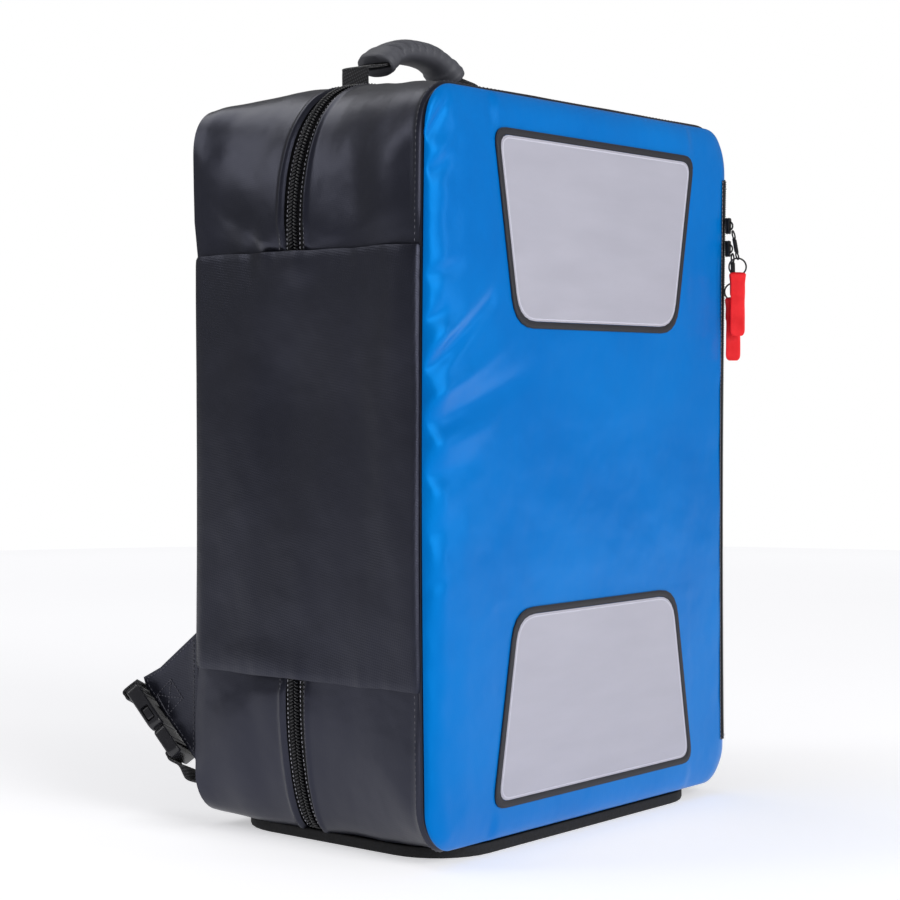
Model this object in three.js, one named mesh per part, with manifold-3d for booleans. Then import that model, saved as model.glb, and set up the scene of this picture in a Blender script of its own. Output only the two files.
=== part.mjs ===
// Emergency medical backpack: a tarpaulin shell with a main zip round its rim, a puffed front
// panel with two reflective plates and a pocket zip, a moulded carrying handle, and shoulder
// straps that end in side-release buckles on two anchor wings.
// Millimetres, +Z up. The front faces -Y and the origin is the centre of the base.
import * as THREE from 'three';
import { mergeVertices } from 'three/addons/utils/BufferGeometryUtils.js';
import Module from 'manifold-3d';

const wasm = await Module();
wasm.setup();

const seamGap = 0.3;

// Bag body
const bodyWidth = 350;
const bodyDepth = 213;
const bodyHeight = 500;
const crownRise = 13;
const clothThickness = 2;
const sidePanelThickness = 1.5;
const sideBow = 2.5;
const seamBow = 5;
const edgeTuck = 2;
const upperSeamHeight = 396.7;
const lowerSeamHeight = 111.5;

// Base tray
const baseHeight = 7.5;
const baseWidth = 300;
const baseLap = 2;
const baseFloor = 2.5;
const baseSideWall = 2.5;
const baseCornerRadius = 45;
const baseEdgeRound = 1.5;
const baseBackSetIn = 8;

// Corners of the cross-section at a seam and over the main zip
const seamCorner = { topRun: 28, topRise: 33, bottomRise: 27 };
const zipCorner = { topRun: 78, topRise: 114, bottomRise: 95 };
const topCornerPower = 2.35;
const bottomCornerPower = 1.85;

// Main zip
const zipDepthShare = 0.55;
const zipOpening = 16;
const zipTapeWidth = 28;
const zipTapeThickness = 1;
const zipTapeClearance = 0.6;
const zipCoilWidth = 9;
const zipCoilThickness = 1.4;
const zipCoilStandOut = 1.2;
const zipSliderSpacing = 44;

// Front and back panels
const pipingDiameter = 3.2;
const pipingSetIn = 0.6;
const panelRim = 1.2;
const panelRimTurn = 1.9;
const panelThickness = 2.5;
const frontFaceOut = 5;
const frontFoldSink = 2;
const frontPuffRun = 15;
const backPuffRun = 16;
const backPanelSetIn = 5;
const backPanelClearance = 1.8;
const gussetBackSetIn = 1.5;

// Reflective plates
const plateThickness = 0.8;
const plateBorder = 4.5;
const plateWide = 236;
const plateNarrow = 190;
const plateHeight = 130;
const upperPlateTop = bodyHeight - 25;
const lowerPlateBottom = 30;
const plateShift = 4.5;
const plateWideRadius = 13;
const plateNarrowRadius = 20;

// Front pocket zip on the right-hand edge of the front panel
const pocketZipBottom = 41;
const pocketZipTop = bodyHeight - 39;
const pocketTapeThickness = 0.7;
const pocketCoilThickness = 1;
const pocketSliderHeights = [bodyHeight - 73, bodyHeight - 90];

// Zip sliders, pullers, rings and tabs
const sliderLength = 12;
const sliderWidth = 8;
const sliderThickness = 3.4;
const bridgeHeight = 5.4;
const pullerLength = 24;
const pullerWidth = 6;
const pullerThickness = 1.4;
const pullerEyeRadius = 2;
const pullerTwist = 0.6;
const ringRadius = 5.6;
const ringWire = 0.6;
const tabLength = 47;
const tabWidth = 11;
const tabThickness = 1.3;
const tabNeck = 0.45;
const tabFlap = 14;
const tabSlack = 1.2;

// Carrying handle
const handleDepth = 55;
const webbingWidth = 25;
const webbingThickness = 1.6;
const gripWidth = 30;
const gripHeight = 18;
const gripSpan = 82;
const gripCrest = bodyHeight + 52.6;
const gripEndHeight = bodyHeight + 38;
const gripSlotWidth = 28;
const gripSlotHeight = 3.9;
const gripPower = 2.3;
const gripSlotPower = 5;
const gripDroop = 2.6;
const handleFold = 62;
const handleFoldHeight = bodyHeight + 34;
const handleFootLength = 28;
const handleFootBend = 8;

// Anchor wings and buckles
const wingThickness = 2.5;
const wingSetIn = 5;
const buckleWidth = 33;
const buckleThickness = 10;
const socketLength = 38;
const plugLength = 24;
const buckleJoint = 1;
const socketWall = 3.4;
const plugThinner = 1;
const tongueLength = 22;
const tongueWidth = 9;
const tongueThickness = 5;
const tongueClearance = 0.4;
const prongWidth = 4;
const prongPlace = 11;
const prongRoot = 3;
const windowLength = 12;
const windowPlace = 12;
const pressWidth = 5;
const pressPlace = 13.9;
const pressClearance = 1.6;
const buckleSlotWidth = 26.5;
const buckleSlotHeight = 5;
const buckleBar = 4;
const buckleRound = 4;
const anchorReach = 6.3;
const buckleSetIn = 7;
const buckleOverhang = 7.2;

// Shoulder straps
const padWidth = 64;
const padThickness = 10;
const padPower = 3;
const padTilt = -0.25;

// Share of the depth from the front seam to the back seam: how far the corners have widened
// towards their shape over the main zip, and how far the cloth is tucked in at the seam
const skinSections = [
  { depth: 0, fullness: 0, tuck: 0.5 },
  { depth: 0.08, fullness: 0.18, tuck: 0.1 },
  { depth: 0.25, fullness: 0.6, tuck: 0 },
  { depth: 0.42, fullness: 0.92, tuck: 0 },
  { depth: zipDepthShare, fullness: 1, tuck: 0 },
  { depth: 0.7, fullness: 0.9, tuck: 0 },
  { depth: 0.86, fullness: 0.55, tuck: 0 },
  { depth: 0.95, fullness: 0.2, tuck: 0.05 },
  { depth: 1, fullness: 0, tuck: 0.6 },
];

// Soft folds that fan in from the left-hand edge of the front panel: their start and end as
// shares of its width and height, their breadth as a share of the height, and their sink
// as a share of the deepest fold
const frontFolds = [
  { fromAcross: 0, fromUp: 0.63, toAcross: 0.22, toUp: 0.76, breadth: 0.02, sink: 1 },
  { fromAcross: 0, fromUp: 0.56, toAcross: 0.3, toUp: 0.64, breadth: 0.022, sink: 0.95 },
  { fromAcross: 0, fromUp: 0.5, toAcross: 0.14, toUp: 0.52, breadth: 0.018, sink: 0.75 },
  { fromAcross: 0, fromUp: 0.74, toAcross: 0.1, toUp: 0.78, breadth: 0.018, sink: 0.75 },
];

// Shallow hollows in each side: their centre and size as shares of depth and height, and
// their sink as a share of the crown's rise
const sideHollows = [
  { depth: 0.46, up: 0.6, deepReach: 0.3, highReach: 0.16, sink: 0.2 },
  { depth: 0.84, up: 0.8, deepReach: 0.14, highReach: 0.05, sink: 0.16 },
  { depth: 0.3, up: 0.87, deepReach: 0.12, highReach: 0.07, sink: 0.14 },
];

// Grip sections from its middle to an end: share of the half span, of width and of height
const gripSections = [
  { out: 0, wide: 1, high: 1 },
  { out: 0.3, wide: 1, high: 1 },
  { out: 0.55, wide: 0.98, high: 0.96 },
  { out: 0.72, wide: 0.98, high: 0.98 },
  { out: 0.8, wide: 1.06, high: 1.08 },
  { out: 1, wide: 1.08, high: 1.1 },
];

// Anchor wing outline behind the back seam: share of its reach back and of its height
const wingReach = 57;
const wingHeight = 94;
const wingBottom = 43;
const wingOutline = [
  { back: 0, up: 1 },
  { back: 0.69, up: 0.69 },
  { back: 1, up: 0.6 },
  { back: 0.95, up: 0.53 },
  { back: 0, up: 0 },
];

// Shoulder pad line: across from the bag's centre as a share of half its width, up as a
// share of the bag's height, and its stand-off from the back in millimetres
const padStandOff = 30;
const padLine = [
  { across: 0.3, up: 0.875, off: 0 },
  { across: 0.31, up: 0.85, off: 0.1 },
  { across: 0.335, up: 0.8, off: 0.52 },
  { across: 0.375, up: 0.73, off: 0.88 },
  { across: 0.43, up: 0.64, off: 1 },
  { across: 0.49, up: 0.55, off: 0.94 },
  { across: 0.55, up: 0.46, off: 0.72 },
  { across: 0.585, up: 0.39, off: 0.5 },
];

// Strap webbing from below the plug's bar to the shoulder pad: across from the centre as a
// share of half the bag's width, back as a share of the wing's reach, up as a share of the
// wing's height, and how far its width tilts
const strapLine = [
  { across: 0.945, back: 0.2, up: 0.4, tilt: -0.4 },
  { across: 0.93, back: 0.12, up: 0.31, tilt: -0.35 },
  { across: 0.9, back: 0.06, up: 0.31, tilt: -0.3 },
  { across: 0.872, back: 0.05, up: 0.42, tilt: -0.25 },
  { across: 0.83, back: 0.07, up: 0.7, tilt: -0.2 },
  { across: 0.72, back: 0.16, up: 1.3, tilt: -0.25 },
  { across: 0.64, back: 0.28, up: 1.8, tilt: -0.3 },
];

const frontSeam = -bodyDepth / 2;
const backSeam = bodyDepth / 2;
const frontFace = frontSeam - frontFaceOut;
const pipingPlace = panelRim + panelRimTurn + seamGap + pipingDiameter / 2;
const gussetFront = (pipingPlace + pipingDiameter / 2 + seamGap) / bodyDepth;
const gussetBack = 1 - gussetBackSetIn / bodyDepth;
const wingStart = backSeam - gussetBackSetIn + seamGap;
const tapeReach = zipTapeWidth / 2 / bodyDepth;
const openingReach = zipOpening / 2 / bodyDepth;
const frontDepths = [
  gussetFront,
  0.06,
  0.13,
  0.25,
  0.4,
  zipDepthShare - tapeReach,
  zipDepthShare - openingReach,
];
const backDepths = [
  zipDepthShare + openingReach,
  zipDepthShare + tapeReach,
  0.74,
  0.86,
  0.94,
  gussetBack,
];

// Value of one column of a table at a share of the depth, straight from row to row
function along(table, column, share) {
  const next = table.findIndex((row) => row.depth >= share);
  if (next <= 0) {
    return table[0][column];
  }
  const from = table[next - 1];
  const to = table[next];
  return THREE.MathUtils.mapLinear(share, from.depth, to.depth, from[column], to[column]);
}

// How far the middle of a side is drawn in, as a share, at a height
function middleShare(height) {
  return Math.sin(Math.PI * THREE.MathUtils.clamp(height / bodyHeight, 0, 1));
}

// Cross-section of the skin at a share of the depth, set in by a distance
function section(depth, inset = 0) {
  const fullness = along(skinSections, 'fullness', depth);
  const tuck = along(skinSections, 'tuck', depth) * edgeTuck;
  const corner = (name) => (
    THREE.MathUtils.lerp(seamCorner[name], zipCorner[name], fullness) - inset
  );
  const half = bodyWidth / 2 - tuck - inset;
  return {
    depth,
    half,
    top: bodyHeight - tuck + crownRise * fullness - inset,
    bottom: baseHeight + seamGap + tuck + inset,
    topRun: corner('topRun'),
    topRise: corner('topRise'),
    bottomRun: half - baseWidth / 2,
    bottomRise: corner('bottomRise'),
  };
}

// Share of a rounded corner's run and rise at a share of its turn
function cornerShare(turn, power) {
  const angle = (Math.PI / 2) * turn;
  return { run: Math.cos(angle) ** (2 / power), rise: Math.sin(angle) ** (2 / power) };
}

// Sink of the shallow side hollows at a share of depth and a height
function hollowSink(depth, height) {
  return sideHollows.reduce((sum, hollow) => {
    const deep = (depth - hollow.depth) / hollow.deepReach;
    const high = (height / bodyHeight - hollow.up) / hollow.highReach;
    return sum + hollow.sink * crownRise * Math.exp(-deep * deep - high * high);
  }, 0);
}

// Right-hand half of a cross-section, from the base's edge up to the top's middle
function halfProfile(shape) {
  const bottomTurns = 3;
  const topTurns = 6;
  const sideSteps = 5;
  const topSteps = 2;
  const points = [];
  for (let step = 0; step < bottomTurns; step += 1) {
    const share = cornerShare(1 - step / bottomTurns, bottomCornerPower);
    points.push([
      baseWidth / 2 + shape.bottomRun * share.run,
      shape.bottom + shape.bottomRise * (1 - share.rise),
    ]);
  }
  points.push([shape.half, shape.bottom + shape.bottomRise]);
  for (let step = 0; step <= sideSteps; step += 1) {
    const height = THREE.MathUtils.lerp(lowerSeamHeight, upperSeamHeight, step / sideSteps);
    points.push([shape.half, height]);
  }
  for (let step = 0; step <= topTurns; step += 1) {
    const share = cornerShare(step / topTurns, topCornerPower);
    points.push([
      shape.half - shape.topRun * (1 - share.run),
      shape.top - shape.topRise * (1 - share.rise),
    ]);
  }
  for (let step = 1; step <= topSteps; step += 1) {
    points.push([(shape.half - shape.topRun) * (1 - step / topSteps), shape.top]);
  }
  return points.map(([x, z]) => {
    const drawn = sideBow * middleShare(z) + hollowSink(shape.depth, z);
    return [x - drawn * Math.min(1, x / (shape.half - shape.topRun)), z];
  });
}

// Whole cross-section from the left-hand base edge over the top to the right-hand one
function profile(shape) {
  const right = halfProfile(shape);
  const left = right.slice(0, -1).map(([x, z]) => [-x, z]);
  return [...left, ...right.reverse()];
}

// Place along Y of a share of the depth at a height, with the front seam's bow
function skinPlace(depth, height) {
  const bow = seamBow * middleShare(height) * Math.max(0, 1 - depth / zipDepthShare);
  return frontSeam + bodyDepth * depth + bow;
}

// Grid of points on the skin, a row for each share of the depth
function skinGrid(depths) {
  return depths.map((depth) => {
    const outline = profile(section(depth));
    return outline.map(([x, z]) => new THREE.Vector3(x, skinPlace(depth, z), z));
  });
}

// Closed body from points and triangles, turned so that its faces point out
function solid(points, triangles) {
  const cross = new THREE.Vector3();
  let volume = 0;
  for (const [a, b, c] of triangles) {
    volume += points[a].dot(cross.crossVectors(points[b], points[c]));
  }
  const facing = volume < 0 ? triangles.map(([a, b, c]) => [a, c, b]) : triangles;
  const geometry = new THREE.BufferGeometry().setFromPoints(points);
  geometry.setIndex(facing.flat());
  geometry.computeVertexNormals();
  return geometry;
}

// Wall between two grids of equal size, closed along its edges; a looped grid's last
// column joins its first
function wall(outer, inner, looped = false) {
  const rows = outer.length;
  const columns = outer[0].length;
  const lastRow = rows - 1;
  const lastColumn = columns - 1;
  const spans = looped ? columns : lastColumn;
  const skin = (row, column) => row * columns + (column % columns);
  const lining = (row, column) => rows * columns + skin(row, column);
  const triangles = [];
  const quad = (a, b, c, d) => triangles.push([a, b, c], [a, c, d]);
  for (let column = 0; column < spans; column += 1) {
    const next = column + 1;
    for (let row = 0; row < lastRow; row += 1) {
      quad(skin(row, column), skin(row + 1, column), skin(row + 1, next), skin(row, next));
      quad(
        lining(row, column),
        lining(row, next),
        lining(row + 1, next),
        lining(row + 1, column),
      );
    }
    quad(skin(0, column), skin(0, next), lining(0, next), lining(0, column));
    quad(
      skin(lastRow, next),
      skin(lastRow, column),
      lining(lastRow, column),
      lining(lastRow, next),
    );
  }
  for (let row = 0; row < lastRow && !looped; row += 1) {
    quad(skin(row + 1, 0), skin(row, 0), lining(row, 0), lining(row + 1, 0));
    quad(
      skin(row, lastColumn),
      skin(row + 1, lastColumn),
      lining(row + 1, lastColumn),
      lining(row, lastColumn),
    );
  }
  return solid([...outer.flat(), ...inner.flat()], triangles);
}

// The same grid moved out along its own normals, by one distance or one for each point
function lifted(grid, distance) {
  return grid.map((line, row) => line.map((point, column) => {
    const before = grid[Math.max(row - 1, 0)][column];
    const after = grid[Math.min(row + 1, grid.length - 1)][column];
    const left = line[Math.max(column - 1, 0)];
    const right = line[Math.min(column + 1, line.length - 1)];
    const normal = right.clone().sub(left).cross(after.clone().sub(before)).normalize();
    const amount = typeof distance === 'function' ? distance(row, column, point) : distance;
    return point.clone().addScaledVector(normal, amount);
  }));
}

// Cloth of one thickness whose outer face is the grid
function cloth(grid, thickness) {
  return wall(grid, lifted(grid, -thickness));
}

// Closed tube round a closed loop of points in planes near XZ
function loopTube(loop, radius, sides) {
  const count = loop.length;
  const depthwise = new THREE.Vector3(0, 1, 0);
  const points = loop.flatMap((point, index) => {
    const ahead = loop[(index + 1) % count].clone().sub(loop[(index + count - 1) % count]);
    const outward = ahead.cross(depthwise).normalize();
    return Array.from({ length: sides }, (_, side) => {
      const angle = (2 * Math.PI * side) / sides;
      return point.clone()
        .addScaledVector(outward, radius * Math.cos(angle))
        .addScaledVector(depthwise, radius * Math.sin(angle));
    });
  });
  const triangles = [];
  for (let index = 0; index < count; index += 1) {
    for (let side = 0; side < sides; side += 1) {
      const a = index * sides + side;
      const b = ((index + 1) % count) * sides + side;
      const c = ((index + 1) % count) * sides + ((side + 1) % sides);
      const d = index * sides + ((side + 1) % sides);
      triangles.push([a, b, c], [a, c, d]);
    }
  }
  return solid(points, triangles);
}

// Solid swept through stations, each with its centre, the direction of its width, and the
// outline as offsets across and through
function loft(stations) {
  const sides = stations[0].outline.length;
  const last = stations.length - 1;
  const points = stations.flatMap((station, index) => {
    const before = stations[Math.max(index - 1, 0)].at;
    const after = stations[Math.min(index + 1, last)].at;
    const through = after.clone().sub(before).cross(station.across).normalize();
    const across = station.across.clone().normalize();
    return station.outline.map(([wide, thick]) => station.at.clone()
      .addScaledVector(across, wide)
      .addScaledVector(through, thick));
  });
  const triangles = [];
  for (let index = 0; index < last; index += 1) {
    for (let side = 0; side < sides; side += 1) {
      const next = (side + 1) % sides;
      const a = index * sides;
      const b = (index + 1) * sides;
      triangles.push([a + side, b + side, b + next], [a + side, b + next, a + next]);
    }
  }
  for (let side = 1; side < sides - 1; side += 1) {
    triangles.push([0, side, side + 1]);
    triangles.push([last * sides, last * sides + side + 1, last * sides + side]);
  }
  return solid(points, triangles);
}

// Flat webbing outline
function webbingOutline(width = webbingWidth, thickness = webbingThickness) {
  return [
    [-width / 2, -thickness / 2],
    [width / 2, -thickness / 2],
    [width / 2, thickness / 2],
    [-width / 2, thickness / 2],
  ];
}

// Full-edged outline of a padded strap
function roundOutline(width, thickness, power, sides) {
  return Array.from({ length: sides }, (_, side) => {
    const angle = (2 * Math.PI * (side + 0.5)) / sides;
    const wide = Math.sign(Math.cos(angle)) * Math.abs(Math.cos(angle)) ** (2 / power);
    const thick = Math.sign(Math.sin(angle)) * Math.abs(Math.sin(angle)) ** (2 / power);
    return [(width / 2) * wide, (thickness / 2) * thick];
  });
}

// Solid that can be joined and cut from a closed geometry, and the geometry back from it
function toManifold(geometry) {
  const bare = geometry.clone();
  bare.deleteAttribute('normal');
  bare.deleteAttribute('uv');
  const merged = mergeVertices(bare, 1e-4);
  return new wasm.Manifold(new wasm.Mesh({
    numProp: 3,
    vertProperties: new Float32Array(merged.attributes.position.array),
    triVerts: new Uint32Array(merged.index.array),
  }));
}

function fromManifold(body) {
  const mesh = body.getMesh();
  const geometry = new THREE.BufferGeometry();
  geometry.setAttribute('position', new THREE.BufferAttribute(mesh.vertProperties, 3));
  geometry.setIndex(new THREE.BufferAttribute(mesh.triVerts, 1));
  geometry.computeVertexNormals();
  return geometry;
}

// Upright block with rounded plan corners, standing on its own lower face
function roundedBlock(width, length, height, radius, edge = 0, turns = 4) {
  const x = width / 2 - edge;
  const y = length / 2 - edge;
  const r = Math.max(radius - edge, 0.1);
  const shape = new THREE.Shape();
  shape.moveTo(-x + r, -y);
  shape.lineTo(x - r, -y);
  shape.absarc(x - r, -y + r, r, -Math.PI / 2, 0);
  shape.lineTo(x, y - r);
  shape.absarc(x - r, y - r, r, 0, Math.PI / 2);
  shape.lineTo(-x + r, y);
  shape.absarc(-x + r, y - r, r, Math.PI / 2, Math.PI);
  shape.lineTo(-x, -y + r);
  shape.absarc(-x + r, -y + r, r, Math.PI, 1.5 * Math.PI);
  const geometry = new THREE.ExtrudeGeometry(shape, {
    depth: height - 2 * edge,
    curveSegments: turns,
    bevelEnabled: edge > 0,
    bevelThickness: edge,
    bevelSize: edge,
    bevelSegments: 1,
  });
  return geometry.translate(0, 0, edge);
}

// Materials
const finishes = {
  coatedCloth: new THREE.MeshStandardMaterial({ color: 0x2c2c33, roughness: 0.5 }),
  blueCloth: new THREE.MeshStandardMaterial({ color: 0x0079cf, roughness: 0.42 }),
  baseCloth: new THREE.MeshStandardMaterial({ color: 0x1c1c20, roughness: 0.7 }),
  webbing: new THREE.MeshStandardMaterial({ color: 0x1b1b1f, roughness: 0.85 }),
  zipCoil: new THREE.MeshStandardMaterial({ color: 0x17171a, roughness: 0.35 }),
  reflective: new THREE.MeshStandardMaterial({ color: 0xbcbac8, roughness: 0.4 }),
  plateEdge: new THREE.MeshStandardMaterial({ color: 0x2a2a33, roughness: 0.5 }),
  rubber: new THREE.MeshStandardMaterial({ color: 0x34343a, roughness: 0.6 }),
  buckle: new THREE.MeshStandardMaterial({ color: 0x1d1d22, roughness: 0.3 }),
  metal: new THREE.MeshStandardMaterial({ color: 0x202024, roughness: 0.35, metalness: 0.8 }),
  redTab: new THREE.MeshStandardMaterial({ color: 0xe9262f, roughness: 0.45 }),
};

const backpack = new THREE.Group();

// Named mesh in the backpack, or in a group of it
function add(name, geometry, material, parent = backpack) {
  const mesh = new THREE.Mesh(geometry, material);
  mesh.name = name;
  parent.add(mesh);
  return mesh;
}

// Group whose own axes point along three world directions
function placed(at, xAxis, yAxis, zAxis) {
  const group = new THREE.Group();
  group.position.copy(at);
  group.quaternion.setFromRotationMatrix(new THREE.Matrix4().makeBasis(xAxis, yAxis, zAxis));
  backpack.add(group);
  return group;
}

function addGussets() {
  add('front_gusset', cloth(skinGrid(frontDepths), clothThickness), finishes.coatedCloth);
  add('back_gusset', cloth(skinGrid(backDepths), clothThickness), finishes.coatedCloth);
}

// Panel over each side between the two cross seams, laid on the gussets
function addSidePanels() {
  const whole = skinGrid([...frontDepths, ...backDepths]);
  const reach = whole[0].map((point, index) => index)
    .filter((index) => {
      const height = whole[0][index].z;
      return height >= lowerSeamHeight - 0.01 && height <= upperSeamHeight + 0.01;
    });
  for (const [name, side] of [['left', -1], ['right', 1]]) {
    const columns = reach.filter((index) => Math.sign(whole[0][index].x) === side);
    const outer = whole.map((line) => columns.map((index) => line[index]));
    const laid = lifted(outer, seamGap + sidePanelThickness);
    add(`side_panel_${name}`, cloth(laid, sidePanelThickness), finishes.coatedCloth);
  }
}

// Main zip round the rim, hidden by the side panels halfway up
function addMainZip() {
  const depthAt = (offset) => zipDepthShare + offset / bodyDepth;
  const underside = -(clothThickness + zipTapeClearance);
  const tapeGrid = skinGrid([-0.5, 0, 0.5].map((share) => depthAt(share * zipTapeWidth)));
  add('main_zip_tape', cloth(lifted(tapeGrid, underside), zipTapeThickness), finishes.webbing);
  const ribs = [
    { across: -0.5, rise: 0 },
    { across: -0.28, rise: 1 },
    { across: 0.28, rise: 1 },
    { across: 0.5, rise: 0 },
  ];
  const coilGrid = skinGrid(ribs.map((rib) => depthAt(rib.across * zipCoilWidth)));
  const seat = underside + seamGap + zipCoilThickness;
  const outer = lifted(coilGrid, (row, column, point) => {
    const proud = point.z > upperSeamHeight + zipCoilWidth;
    const top = proud ? zipCoilStandOut : -seamGap;
    return THREE.MathUtils.lerp(seat, top, ribs[row].rise);
  });
  const inner = lifted(coilGrid, seat - zipCoilThickness);
  add('main_zip_coil', wall(outer, inner), finishes.zipCoil);
}

// Edge roll round the front panel
function addPiping() {
  const shape = section(0, pipingSetIn + pipingDiameter / 2);
  const sides = profile(shape);
  const bottomSteps = 6;
  const bottom = Array.from({ length: bottomSteps - 1 }, (_, step) => {
    const share = (step + 1) / bottomSteps;
    return [THREE.MathUtils.lerp(sides[sides.length - 1][0], sides[0][0], share), shape.bottom];
  });
  const depth = pipingPlace / bodyDepth;
  const loop = [...sides, ...bottom]
    .map(([x, z]) => new THREE.Vector3(x, skinPlace(depth, z), z));
  add('front_piping', loopTube(loop, pipingDiameter / 2, 6), finishes.coatedCloth);
}

// Half width of a cross-section at a height
function halfWidthAt(shape, height) {
  const fromTop = (height - (shape.top - shape.topRise)) / shape.topRise;
  const fromBottom = (shape.bottom + shape.bottomRise - height) / shape.bottomRise;
  const edge = (share, power, run) => {
    const capped = THREE.MathUtils.clamp(share, 0, 1);
    return run * (1 - (1 - capped ** power) ** (1 / power));
  };
  return shape.half
    - edge(fromTop, topCornerPower, shape.topRun)
    - edge(fromBottom, bottomCornerPower, shape.bottomRun)
    - sideBow * middleShare(height);
}

// Heights of an end panel's rows: close together round its corners, even between them and
// no further than the ends of the pocket zip
function panelHeights(shape, steps) {
  const lower = [1, 2 / 3, 1 / 3, 0].map((turn) => {
    const { rise } = cornerShare(turn, bottomCornerPower);
    return shape.bottom + shape.bottomRise * (1 - rise);
  });
  const upper = [0, 1 / 3, 2 / 3, 5 / 6, 1].map((turn) => {
    const { rise } = cornerShare(turn, topCornerPower);
    return shape.top - shape.topRise * (1 - rise);
  });
  const lowest = Math.max(pocketZipBottom, lower[lower.length - 1]);
  const highest = Math.min(pocketZipTop, upper[0]);
  const even = Array.from({ length: steps + 1 }, (_, step) => (
    THREE.MathUtils.lerp(lowest, highest, step / steps)
  ));
  return [...lower, ...even, ...upper]
    .filter((height, index, all) => index === 0 || height - all[index - 1] > seamGap);
}

// Shares of the puff's run at which an end panel's columns stand near its edge
const frontEdgeSteps = [0, 0.12, 0.4, 0.7, 1];
const backEdgeSteps = [0, 0.3, 1];

// Rounded rise of a puffed panel at a distance from its edge, as a share of the puff
function puffShare(distance, run) {
  const left = 1 - THREE.MathUtils.clamp(distance / run, 0, 1);
  return Math.sqrt(1 - left * left);
}

// Sink of the front panel's folds at a place on it
function foldSink(x, z) {
  const across = x / bodyWidth + 0.5;
  const up = z / bodyHeight;
  return frontFolds.reduce((sum, fold) => {
    const run = fold.toAcross - fold.fromAcross;
    const share = THREE.MathUtils.clamp((across - fold.fromAcross) / run, 0, 1);
    const off = (up - THREE.MathUtils.lerp(fold.fromUp, fold.toUp, share)) / fold.breadth;
    const fade = Math.max(0, 1 - ((across - fold.fromAcross) / run) ** 2);
    return sum + fold.sink * frontFoldSink * fade * Math.exp(-off * off);
  }, 0);
}

// Grid of a puffed end panel: the front one faces -Y, the back one +Y
function endPanelGrid(panel) {
  const { shape, seamAt, face, run, facing, edgeSteps, rowSteps, columnSteps, sinkAt } = panel;
  return panelHeights(shape, rowSteps).map((z) => {
    const half = halfWidthAt(shape, z);
    const edge = edgeSteps.map((share) => share * run);
    const inner = half - run;
    const middle = Array.from({ length: columnSteps - 1 }, (_, step) => (
      inner * (1 - (2 * (step + 1)) / columnSteps)
    ));
    const columns = [
      ...edge.map((distance) => half - distance),
      ...middle,
      ...[...edge].reverse().map((distance) => distance - half),
    ];
    const ordered = facing < 0 ? columns.reverse() : columns;
    const upright = Math.min(z - shape.bottom, shape.top - z);
    return ordered.map((x) => {
      const rise = puffShare(half - Math.abs(x), run) * puffShare(upright, run);
      const y = THREE.MathUtils.lerp(seamAt(z), face - facing * sinkAt(x, z), rise);
      return new THREE.Vector3(x, y, z);
    });
  });
}

const frontShape = section(0, seamGap);
const backShape = section(gussetBack, clothThickness + backPanelClearance);
const frontSeamAt = (z) => skinPlace(panelRim / bodyDepth, z);

function frontGrid() {
  return endPanelGrid({
    shape: frontShape,
    seamAt: frontSeamAt,
    face: frontFace,
    run: frontPuffRun,
    facing: -1,
    edgeSteps: frontEdgeSteps,
    rowSteps: 16,
    columnSteps: 10,
    sinkAt: foldSink,
  });
}

function addEndPanels() {
  add('front_panel', cloth(frontGrid(), panelThickness), finishes.blueCloth);
  const backGrid = endPanelGrid({
    shape: backShape,
    seamAt: () => backSeam - backPanelSetIn,
    face: backSeam,
    run: backPuffRun,
    facing: 1,
    edgeSteps: backEdgeSteps,
    rowSteps: 5,
    columnSteps: 4,
    sinkAt: () => 0,
  });
  add('back_panel', cloth(backGrid, panelThickness), finishes.coatedCloth);
}

// Tray under the body that the bag stands on
function addBase() {
  const width = baseWidth + 2 * baseLap;
  const length = bodyDepth - baseLap - baseBackSetIn;
  const outer = roundedBlock(width, length, baseHeight, baseCornerRadius, baseEdgeRound);
  const hollow = roundedBlock(
    width - 2 * baseSideWall,
    length - 2 * baseSideWall,
    baseHeight,
    baseCornerRadius - baseSideWall,
  ).translate(0, 0, baseFloor);
  const tray = fromManifold(toManifold(outer).subtract(toManifold(hollow)));
  const base = add('base_panel', tray, finishes.baseCloth);
  base.position.y = (baseLap - baseBackSetIn) / 2;
}

// Outline with rounded corners from corner points and radii
function roundedShape(corners, kind = THREE.Shape) {
  const shape = new kind();
  corners.forEach((corner, index) => {
    const before = corners[(index + corners.length - 1) % corners.length].at;
    const after = corners[(index + 1) % corners.length].at;
    const reach = (other) => corner.at.clone()
      .add(other.clone().sub(corner.at).setLength(corner.radius));
    const start = reach(before);
    const end = reach(after);
    if (index === 0) {
      shape.moveTo(start.x, start.y);
    } else {
      shape.lineTo(start.x, start.y);
    }
    shape.quadraticCurveTo(corner.at.x, corner.at.y, end.x, end.y);
  });
  shape.closePath();
  return shape;
}

// Corners of a reflective plate, set in from its outer edge; the wide end is at the top
function plateCorners(inset) {
  const slope = (plateWide - plateNarrow) / 2 / plateHeight;
  const shift = inset * Math.hypot(1, slope);
  const halfAt = (height) => plateNarrow / 2 + slope * height - shift;
  const low = inset;
  const high = plateHeight - inset;
  const wide = plateWideRadius - inset / 2;
  const narrow = plateNarrowRadius - inset / 2;
  return [
    { at: new THREE.Vector2(-halfAt(low), low), radius: narrow },
    { at: new THREE.Vector2(halfAt(low), low), radius: narrow },
    { at: new THREE.Vector2(halfAt(high), high), radius: wide },
    { at: new THREE.Vector2(-halfAt(high), high), radius: wide },
  ];
}

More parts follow.
